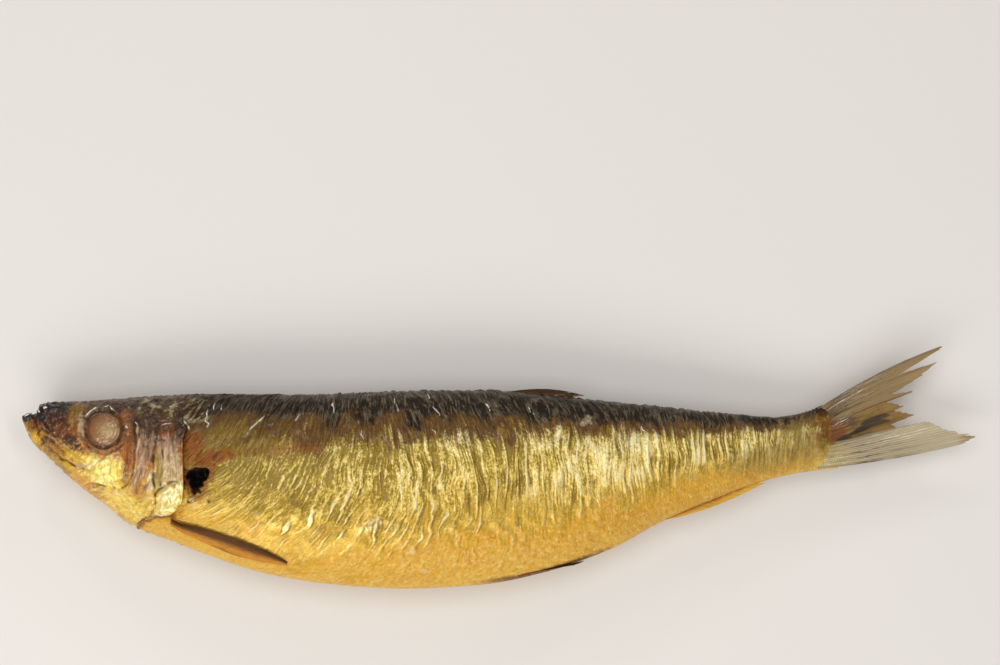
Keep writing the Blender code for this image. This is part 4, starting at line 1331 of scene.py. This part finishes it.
def head_skin(colours):
    """The head's skin: patches of dried colour over bone, glossy with oil, with painted shade in its
    creases and painted highlights on its ridges.
    """
    skin = Finish("head_skin")
    tint, glint_lines = skin.noted("tint"), skin.noted("gleam").between(0.2, 0.8)
    mottle = skin.grain(0.4, 0.3, 4.0, 0.65)
    fleck = skin.grain(1.9, 1.1, 4.0, 0.7)
    spots = skin.grain(0.34, 0.38)
    streak = skin.grain(1.1, 0.16)
    share = skin.noted("share") + (mottle - 0.5) * 0.35 + (fleck - 0.5) * 0.1
    colour = skin.ramp(
        share,
        [
            (0.0, colours.umber), (0.16, colours.umber), (0.32, colours.rust), (0.5, colours.orange),
            (0.66, colours.amber), (1.0, colours.keel),
        ],
    )
    colour = skin.paint(colour, colours, "head", fleck)
    colour = nape_tones(skin, colour, colours, spots)
    lines = streak.between(0.46, 0.6)
    grey, cream = skin.noted("gill_grey"), skin.noted("gill_cream")
    leaf, cheek, snout = (skin.noted(name) for name in ("leaf_plate", "cheek_gold", "snout"))
    colour = skin.layers(
        colour,
        (colours.char, snout * 0.95),
        (colours.plum, lines * grey * 0.35),
        (colours.ridge, (1 - streak).between(0.5, 0.62) * grey * 0.5),
        (colours.grey, lines * cream * 0.3),
        (colours.olive_brown, mottle.between(0.48, 0.6) * cream * 0.45),
        (colours.plum, lines * skin.noted("amber") * 0.45),
        (colours.blood, mottle.between(0.5, 0.62) * skin.noted("eye_orange") * 0.6),
    )
    plain = (grey + cream + skin.noted("plum")).clamped()
    dappled = fleck.between(0.48, 0.78) * (1 - cheek * 0.7) * (1 - plain * 0.8) * (1 - snout)
    colour = skin.layers(
        colour,
        (colours.rust, dappled * 0.22),
        (colours.crest, leaf * mottle.between(0.36, 0.56) * 0.9),
        (colours.crest, cheek * spots.between(0.42, 0.62) * 0.4),
        # Painted shade in the head's creases, and painted highlights on its ridges
        (colours.line, (0 - tint).between(0.1, 0.9) * 0.8),
        (colours.ridge, tint.between(0.1, 0.9) * 0.6),
        # Painted highlights: white glints along the sharpest folds of the head
        (colours.gleam, glint_lines * mottle.between(0.38, 0.5)),
    )
    colour = skin.shaded(colour, 0.56 + mottle * 0.88)
    metal = (cheek + leaf + cream * 0.6).between(0.0, 1.2) * 0.35 + 0.06
    normal = skin.bump(streak, 0.0002, 0.6)
    normal = skin.bump(fleck, 0.0001, 0.9, normal)
    return skin.surface({
        "Base Color": colour,
        "Metallic": metal,
        "Roughness": 0.26 + 0.2 * fleck,
        "Normal": normal,
        "Specular IOR Level": 0.15,
        "Specular Tint": OIL_TINT,
        "Coat Weight": 0.75,
        "Coat Roughness": 0.07,
    })


def eye_finish(colours):
    """The clouded eye: tan, with a pale greenish cloud, painted highlights of wrinkles beside it and a
    red edge in front.
    """
    eye = Finish("clouded_eye")
    place = eye.noted_place("grain")
    mottle = eye.noise(place, 0.5, 4.0, 0.65, 0.8)
    fine = eye.noise(place, 1.7, 3.0, 0.7)
    cloud = (eye.noted("cloud") * 0.8 + (mottle - 0.5) * 2.2).clamped()
    colour = eye.layers(
        colours.eye,
        (colours.eye_pale, cloud * (0.4 + fine * 0.6)),
        (colours.rust, eye.noted("front") * mottle.between(0.4, 0.6) * 0.6),
        (colours.ridge, eye.noted("wrinkle") * mottle.between(0.4, 0.6) * 0.6),
        (colours.umber, eye.noted("edge").between(0.72, 0.95) * 0.5),
        (colours.plum, fine.between(0.56, 0.72) * 0.3),
    )
    return eye.surface({
        "Base Color": colour,
        "Roughness": 0.3 + 0.15 * fine,
        "Normal": eye.bump(fine, 0.00015, 0.8),
        "Specular IOR Level": 0.3,
        "Coat Weight": 0.6,
        "Coat Roughness": 0.08,
    })


def fin_finish(name, colours, *shades):
    """A folded fin's skin: rays with darker skin in the gaps between them, with stains at the root."""
    fin = Finish(name)
    root, tip, gap = (getattr(colours, shade_name) for shade_name in shades)
    ray, along = fin.noted("ray"), fin.noted("along")
    stain, fleck = fin.grain(0.12, 0.5), fin.grain(0.5, 2.2)
    rays = (ray * 0.3 + fleck).between(0.35, 0.85)
    colour = fin.layers(
        root,
        (tip, (along + (stain - 0.5) * 0.5 + (fleck - 0.5) * 0.3).between(0.3, 0.75)),
        (gap, (1 - rays) * 0.45),
        (colours.blood, stain.between(0.5, 0.72) * 0.5),
        (colours.crest, fleck.between(0.56, 0.7) * fin.noted("tuft") * 0.8),
    )
    return fin.surface({
        "Base Color": colour,
        "Metallic": 0.1,
        "Roughness": 0.34 + 0.2 * fleck,
        "Normal": fin.bump(fleck, 0.00015, 0.8),
        "Specular IOR Level": 0.15,
        "Coat Weight": 0.2,
        "Coat Roughness": 0.2,
        "Coat IOR": 1.36,
    })


def tail_finish(colours):
    """The tail fin's skin: branched rays with fine joints, flesh at the root and stains between, with
    painted shade where its lobes overlap and painted glints.
    """
    fin = Finish("tail_fin_skin")
    number, along = fin.noted("number"), fin.noted("along")
    streak = fin.grain(0.25, 2.0)
    stain = fin.grain(0.16, 0.4, 4.0, 0.65)
    fleck = fin.grain(2.0, 3.0, 3.0, 0.7)
    upper, lower = fin.noted("upper"), fin.noted("lower")
    branches = (number * 3 + (streak - 0.5) * 0.6).wave()
    gaps = (number + 0.5 + (streak - 0.5) * 0.4 + (stain - 0.5) * 0.9).wave()
    joints = (along * 62 + (fleck - 0.5) * 0.4).wave()
    near_root = (1 - along).between(0.1, 0.9)
    gaps = gaps.between(0.7, 0.95) * near_root * streak.between(0.36, 0.6)
    joined = (1 - joints).between(0.5, 1.0) * (1 - along).between(0.1, 0.5)
    fresh = (fin.noted("root") + (stain - 0.5) * 0.7 + (streak - 0.5) * 0.4).between(0.35, 0.65)
    scaly = fin.noted("scaly") * streak.between(0.3, 0.6)
    fold_shade = (fin.noted("stain") + (streak - 0.5) * 0.8 + (fleck - 0.5) * 0.5).between(0.3, 0.8)
    silver = fin.noted("silver")
    colour = fin.layers(
        colours.fin_amber,
        (colours.fin_dark, stain.between(0.42, 0.62) * 0.7),
        (colours.fin, (upper + (stain - 0.5) * 0.6).between(0.3, 0.7) * 0.85),
        (colours.fin_pale, (lower + (stain - 0.5) * 0.6).between(0.3, 0.7) * 0.9),
        (colours.fin_amber, fin.noted("warm") * stain.between(0.36, 0.6) * 0.8),
        (colours.fin_dark, (1 - branches).between(0.4, 0.9) * (0.5 - along * 0.3)),
        (colours.fin_dark, gaps),
        (colours.fin_dark, joined * 0.45),
        (colours.fin_red, fresh * 0.85),
        (colours.gold, scaly * 0.45),
        # Painted shade along the fold where the lobes overlap
        (colours.back, fold_shade * 0.75),
        (colours.back, fin.noted("edge") * streak.between(0.4, 0.6) * 0.75),
        # Painted highlights: silvery glints along the branches of the rays
        (colours.silver, branches.between(0.6, 0.95) * streak.between(0.46, 0.6) * silver * 0.85),
        (colours.silver, fleck.between(0.6, 0.7) * silver * 0.7),
    )
    return fin.surface({
        "Base Color": colour,
        "Metallic": 0.1,
        "Roughness": 0.36 + 0.2 * fleck,
        "Normal": fin.bump(branches + joints * 0.25 + fleck * 0.4, 0.00015, 0.8),
        "Specular IOR Level": 0.3,
        "Coat Weight": 0.25,
        "Coat Roughness": 0.2,
    })


def floor_finish(colours):
    floor = Finish("pale_floor")
    place = floor.add("ShaderNodeTexCoord", {}, {}, output=3)
    grain = floor.noise(place, 9.0, 3.0)
    colour = floor.mix(colours.floor, FLOOR_SPECKS, (grain - 0.5).between(0.0, 0.5) * 0.06)
    rough = 0.42 + 0.06 * grain
    return floor.surface({"Base Color": colour, "Roughness": rough, "Specular IOR Level": 0.4})


class HERRING_OT_stage(bpy.types.Operator):
    """Adds the pale floor, the soft lights and the camera"""

    bl_idname = "herring.stage"
    bl_label = "Add the stage"

    def execute(self, context):
        scene = context.scene
        bpy.ops.mesh.primitive_plane_add(size=FLOOR_SIZE, location=(0, 0, TABLE))
        floor = context.object
        floor.name = "floor"
        floor.data.materials.append(floor_finish(scene.herring_colours))

        world = bpy.data.worlds.new("soft_room")
        world.use_nodes = True
        room = world.node_tree.nodes["Background"].inputs
        room["Color"].default_value = ROOM_COLOUR
        room["Strength"].default_value = ROOM_LIGHT
        scene.world = world
        for name, place, size, power in LIGHTS:
            light = bpy.data.lights.new(name, "AREA")
            light.shape = "RECTANGLE"
            light.size, light.size_y = size
            light.energy = power
            lamp = bpy.data.objects.new(name, light)
            lamp.location = place
            lamp.rotation_euler = (-Vector(place)).to_track_quat("-Z", "Y").to_euler()
            scene.collection.objects.link(lamp)

        camera = bpy.data.cameras.new("camera")
        camera.lens = CAMERA_LENS
        camera.clip_start = 0.01
        shot = bpy.data.objects.new("camera", camera)
        raised = math.radians(CAMERA_ELEVATION)
        look = Vector((0, -math.cos(raised), math.sin(raised)))
        shot.location = Vector(CAMERA_TARGET) + look * CAMERA_DISTANCE
        shot.rotation_euler = look.to_track_quat("Z", "Y").to_euler()
        scene.collection.objects.link(shot)
        scene.camera = shot
        scene.view_settings.view_transform = "Standard"
        return {"FINISHED"}


class HERRING_OT_skin(bpy.types.Operator):
    """Makes the skin of the head and of the trunk, with its folds and colours"""

    bl_idname = "herring.skin"
    bl_label = "Make the skin"

    def execute(self, context):
        sizes, colours = context.scene.herring_sizes, context.scene.herring_colours
        stretches = {"pleats": 5.0, "crinkles": 2.0, "mottle": 1.0}
        noises = {name: Noise(SEEDS[name], stretch) for name, stretch in stretches.items()}
        mottle = noises["mottle"]
        grid = body_grid(sizes)
        station, height, arc = grid["station"], grid["height"], grid["arc"]
        split = grid["split"]
        folded, shine, along, short = fold_relief(grid, sizes, noises)
        grid["along"] = along
        nape_end = int(np.searchsorted(station[:, 0], NAPE_END))
        rise = np.zeros_like(station)
        front = {key: value[:nape_end] for key, value in grid.items() if np.ndim(value) == 2}
        on_head = falloff(GILL_STATION - 0.6, GILL_STATION, front["station"])
        nape = smoothstep(3.0, 5.0, front["height"]) * falloff(46, NAPE_END, front["station"])
        on_head = np.maximum(on_head, nape)
        tint = np.zeros_like(station)
        rise[:nape_end], tint[:nape_end] = (value * on_head for value in head_relief(front, noises))
        rise[nape_end:] += folded[nape_end:]
        rise[:nape_end] += folded[:nape_end] * (1 - on_head)
        behind = station > GILL_STATION + 0.4
        hole = hole_reach(station, height) + mottle.uneven("hole_edge", station, arc)
        depth = ROD_HOLE_DEPTH * (1 + mottle.uneven("hole_depth", station, arc))
        rise -= depth * smoothstep(-0.1, 1.5, hole) * behind
        rise += ROD_HOLE_RIM_RISE * bell((hole + 0.6) / 0.5) * behind
        scale = np.zeros_like(station)
        for scale_s, scale_h, radius in LOOSE_SCALES:
            narrowed, turn = LOOSE_SCALE_SHAPE
            reach = oval_reach(station, height, (scale_s, scale_h, radius, radius * narrowed, turn))
            reach += mottle.uneven("loose_scale", station, height)
            scale = np.maximum(scale, falloff(0.9, 1.02, reach) * (grid["side"] > 0))
        rise += LOOSE_SCALE_RISE * scale
        gleam = glint_fold_mask(station, height, mottle) * (grid["side"] > 0)
        rise += GLINT_FOLD_RISE * gleam
        points = grid["points"] + grid["normal"] * rise[..., None]
        points[..., 2] = np.maximum(points[..., 2], TABLE / MM)
        normals = normals_of(points)
        wobble = mottle.uneven("patch_edge", station, arc)
        start, end, keelwards = VENT_SLIT
        slit = smoothstep(*start, station + wobble) * falloff(*end, station + wobble)
        slit *= smoothstep(*keelwards, grid["share"] + 0.004 * wobble) * (grid["side"] > 0)
        # Among these: the folds' painted light, the head's painted light and shade, and the painted
        # glints
        values = {
            "shine": shine,
            "crinkled": short,
            "tone": tone_of(grid, mottle),
            "share": grid["share"],
            "tint": tint,
            "hole": smoothstep(-0.4, 1.0, hole) * behind,
            "scale": scale,
            "gleam": gleam,
        }
        lengthwise = {"head": station + cover_curve(station, height), "trunk": along}
        places = {
            kind: np.stack([value, arc, grid["side"] * FLANKS_APART], axis=-1)
            for kind, value in lengthwise.items()
        }
        materials = {"head": head_skin(colours), "trunk": body_skin(colours)}
        cuts = np.linspace(split - 1, len(station) - 1, 4).astype(int)
        parts = [("head", "head", 0, split)]
        parts += [
            (f"trunk_{word}", "trunk", start, end + 1)
            for word, start, end in zip(("front", "middle", "rear"), cuts, cuts[1:])
        ]
        for name, kind, start, end in parts:
            rows = slice(start, end)
            closed = (start == 0, end == len(station))
            faces = ring_faces(end - start, station.shape[1], *closed)
            made = add_mesh(name, points[rows], faces, normals[rows])
            note(made, "grain", places[kind][rows])
            for word, value in values.items():
                note(made, word, value[rows])
            for patch in (*(row[0] for row in PAINTED[kind]), *MOTTLED[kind]):
                mask = patch_mask(station[rows], height[rows], patch, wobble[rows])
                note(made, patch, mask * slit[rows] if patch == "vent" else mask)
            dress(made, materials[kind])
        return {"FINISHED"}


class HERRING_OT_eyes(bpy.types.Operator):
    """Makes the two clouded eyes"""

    bl_idname = "herring.eyes"
    bl_label = "Make the eyes"

    def execute(self, context):
        material = eye_finish(context.scene.herring_colours)
        mottle = Noise(SEEDS["eyes"], 1.0)
        turn = np.linspace(0, 2 * math.pi, EYE_POINTS, endpoint=False)[None]
        reach = np.linspace(1.0, 0.0, EYE_ROUNDS, endpoint=False)[:, None]
        for side, word in ((1, "left"), (-1, "right")):
            radius = EYE_RADIUS * reach
            station = EYE[0] + radius * np.cos(turn) * EYE_LENGTH_SHARE
            height = EYE[1] + radius * np.sin(turn)
            dome = EYE_DOME * np.sqrt(np.clip(1 - reach**2, 0, 1)) - EYE_SUNK
            dome = dome + mottle.uneven("eye", station, height)
            rounds = on_flank(station, height, side, dome)
            crown = on_flank(np.array([EYE[0]]), np.array([EYE[1]]), side, EYE_DOME - EYE_SUNK)
            points = np.concatenate([rounds.reshape(-1, 3), crown])
            faces = ring_faces(*rounds.shape[:2], True, False)
            last = (rounds.shape[0] - 1) * rounds.shape[1]
            tip = len(points) - 1
            count = rounds.shape[1]
            faces += [[last + k, last + (k + 1) % count, tip] for k in range(count)]
            if side < 0:
                faces = [face[::-1] for face in faces]
            made = add_mesh(f"eye_{word}", points, faces)
            places = np.stack([station, height, np.full_like(station, side)], axis=-1).reshape(-1, 3)
            note(made, "grain", np.concatenate([places, [[EYE[0], EYE[1], side]]]))
            note(made, "edge", np.append(np.broadcast_to(reach, station.shape).ravel(), 0.0))
            masks = {
                "cloud": falloff(0.3, 1.2, oval_reach(station, height, EYE_CLOUD)),
                "front": smoothstep(0.0, 3.5, EYE[0] - station + 0.3 * (height - EYE[1])),
                # Pale rings painted beside the eye as the highlights of its wrinkles
                "wrinkle": smoothstep(0.6, 1.8, station - EYE[0] + 0.4 * (EYE[1] - height))
                * smoothstep(-0.2, 0.6, np.cos(reach * WRINKLES * 2 * math.pi))
                * smoothstep(0.3, 0.5, reach),
            }
            for word, mask in masks.items():
                note(made, word, np.append(mask.ravel(), mask[-1].mean()))
            dress(made, material)
        return {"FINISHED"}


class HERRING_OT_tail_fin(bpy.types.Operator):
    """Makes the torn tail fin"""

    bl_idname = "herring.tail_fin"
    bl_label = "Make the tail fin"

    def execute(self, context):
        colours = context.scene.herring_colours
        root_height, tip_station, tip_height = np.array(TAIL_RAYS).T
        share = np.linspace(0, 1, len(TAIL_RAYS))
        down = (root_height[0] - root_height) / (root_height[0] - root_height[-1])
        top = through(BACK, TAIL_ROOT_STATION) - TAIL_ROOT_MARGIN
        bottom = through(BELLY, TAIL_ROOT_STATION) + TAIL_ROOT_MARGIN
        roots = placed(TAIL_ROOT_STATION, top + (bottom - top) * down, 0.0)
        curl = TAIL_WAVE * np.sin(share * TAIL_WAVES * math.pi) + TAIL_TIP_LIFT * (1 - share)
        curl[list(TAIL_OVERLAP_RAYS)] += np.array([1, 0, -1]) * TAIL_OVERLAP_RISE
        tips = placed(tip_station, tip_height, curl)
        bow = np.zeros_like(tips)
        bow[:, 1] = np.interp(share, (0, 1), TAIL_BOW)
        points = fan_points(roots, tips, bow, **TAIL_POINTS)
        along, number = sheet_places(points, len(TAIL_RAYS))
        ray = ridges(number)
        ray = ray + (ridges(number * 3) - ray) * smoothstep(0.15, 0.45, along)
        mottle = Noise(SEEDS["tail_fin"], 1.0)
        ragged = TAIL_RAGGED * mottle.at(number * 3, number * 0, 1.0) * smoothstep(0.55, 1.0, along)
        points += (points[:, -1:] - points[:, :1]) * ragged[..., None]
        thick = np.interp(along, *zip(*TAIL_THICKNESS))
        ridged = TAIL_GAP_DEPTH * smoothstep(0.04, 0.2, along)
        made = sheet_mesh("tail_fin", points, thick * (1 - ridged + ridged * ray))
        place = np.stack([points[..., 0], number, np.zeros_like(along)], -1)
        masks = {name: ovals_mask(number, along, ovals, 0.0) for name, ovals in TAIL_PATCHES.items()}
        masks["upper"] = falloff(*TAIL_UPPER_LOBE, number)
        masks["lower"] = smoothstep(*TAIL_LOWER_LOBE, number)
        masks["scaly"] = falloff(0.12, 0.36, along) * smoothstep(11.0, 12.5, number)
        masks["root"] = falloff(0.22, 0.56, along + 0.06 * np.abs(number - TAIL_MIDDLE_RAY))
        note_sheet(made, {"number": number, "along": along, "grain": place, **masks})
        dress(made, tail_finish(colours))
        return {"FINISHED"}


class HERRING_OT_body_fins(bpy.types.Operator):
    """Makes the folded fins of the back, the belly and the breast"""

    bl_idname = "herring.body_fins"
    bl_label = "Make the folded fins"

    def execute(self, context):
        colours = context.scene.herring_colours
        dark, amber, breast = (fin_finish(name, colours, *FIN_SKINS[name]) for name in FIN_SKINS)
        self.folded("dorsal_fin", DORSAL, BACK, 1, 0.0, dark)
        self.folded("anal_fin", ANAL, BELLY, -1, 0.0, amber)
        for side, word in ((1, "left"), (-1, "right")):
            self.folded(f"pelvic_fin_{word}", PELVIC, BELLY, -1, side * PELVIC_OUT, dark)
            self.pectoral(f"pectoral_fin_{word}", side, breast)
        return {"FINISHED"}

    def folded(self, name, fin, outline, side, out, material):
        """A fin folded back along the outline of the back (side 1) or of the belly (side -1)."""
        station = np.linspace(fin["from"], fin["to"], FOLDED_RAYS)
        swept = station + fin["length"]
        stand_out = fin["stand_out"] * np.sin(np.linspace(FOLD_BACK_START, fin["end"], FOLDED_RAYS))
        roots = placed(station, through(outline, station) - side, out)
        tips = placed(swept, through(outline, swept) + side * stand_out, out)
        points = fan_points(roots, tips, np.zeros_like(tips), **FOLDED_POINTS)
        along, number = sheet_places(points, FOLDED_RAYS)
        ray = ridges(number)
        thick = np.interp(along, (0, 1), fin["thickness"]) * (1 - FIN_GAP_DEPTH + FIN_GAP_DEPTH * ray)
        tuft = smoothstep(0.62, 0.78, number / (FOLDED_RAYS - 1)) * smoothstep(0.1, 0.4, along)
        self.fin(name, points, thick, ray, along, number, fin["tuft"] * tuft, material)

    def pectoral(self, name, side, material):
        """A fin folded flat on the breast, with its rays along it."""
        columns, lines = BREAST_FIN_POINTS
        stations = np.linspace(PECTORAL_UPPER[0][0], PECTORAL_UPPER[-1][0], columns)
        share = np.linspace(0, 1, lines)[:, None]
        upper, lower = through(PECTORAL_UPPER, stations), through(PECTORAL_LOWER, stations)
        height = upper * (1 - share) + lower * share
        station = np.broadcast_to(stations, height.shape)
        along = np.linspace(0, 1, len(stations))[None] * np.ones_like(height)
        number = share * BREAST_FIN_RAYS * np.ones_like(height)
        ray = ridges(number)
        edge_lift, arch = PECTORAL_LIFT
        points = on_flank(station, height, side, arch * np.sin(math.pi * share) + edge_lift)
        thickness = (0.8 + 0.35 * ray) * (1 - 0.6 * smoothstep(0.8, 1.0, along))
        across = share * np.ones_like(along)
        self.fin(name, points, thickness, ray, across, number, 0.0 * across, material)

    def fin(self, name, points, thickness, ray, along, number, tuft, material):
        made = sheet_mesh(name, points, thickness)
        place = np.stack([points[..., 0], number, np.zeros_like(number)], axis=-1)
        note_sheet(made, {"ray": ray, "along": along, "grain": place, "tuft": tuft})
        dress(made, material)


class HERRING_PT_panel(bpy.types.Panel):
    """Lists the pieces of the fish"""

    bl_label = "Smoked herring"
    bl_idname = "HERRING_PT_panel"
    bl_space_type = "VIEW_3D"
    bl_region_type = "UI"
    bl_category = "Herring"

    def draw(self, context):
        for step in STEPS:
            self.layout.operator(step.bl_idname)
        for group in (context.scene.herring_sizes, context.scene.herring_colours):
            for name in group.__annotations__:
                self.layout.prop(group, name)


STEPS = (
    HERRING_OT_stage,
    HERRING_OT_skin,
    HERRING_OT_eyes,
    HERRING_OT_tail_fin,
    HERRING_OT_body_fins,
)
CLASSES = (HerringSizes, HerringColours, *STEPS, HERRING_PT_panel)


def register():
    for made in CLASSES:
        bpy.utils.register_class(made)
    bpy.types.Scene.herring_sizes = bpy.props.PointerProperty(type=HerringSizes)
    bpy.types.Scene.herring_colours = bpy.props.PointerProperty(type=HerringColours)


def unregister():
    del bpy.types.Scene.herring_colours
    del bpy.types.Scene.herring_sizes
    for made in reversed(CLASSES):
        bpy.utils.unregister_class(made)


def main():
    register()
    bpy.ops.herring.stage()
    bpy.ops.herring.skin()
    bpy.ops.herring.eyes()
    bpy.ops.herring.tail_fin()
    bpy.ops.herring.body_fins()


if __name__ == "__main__":
    main()
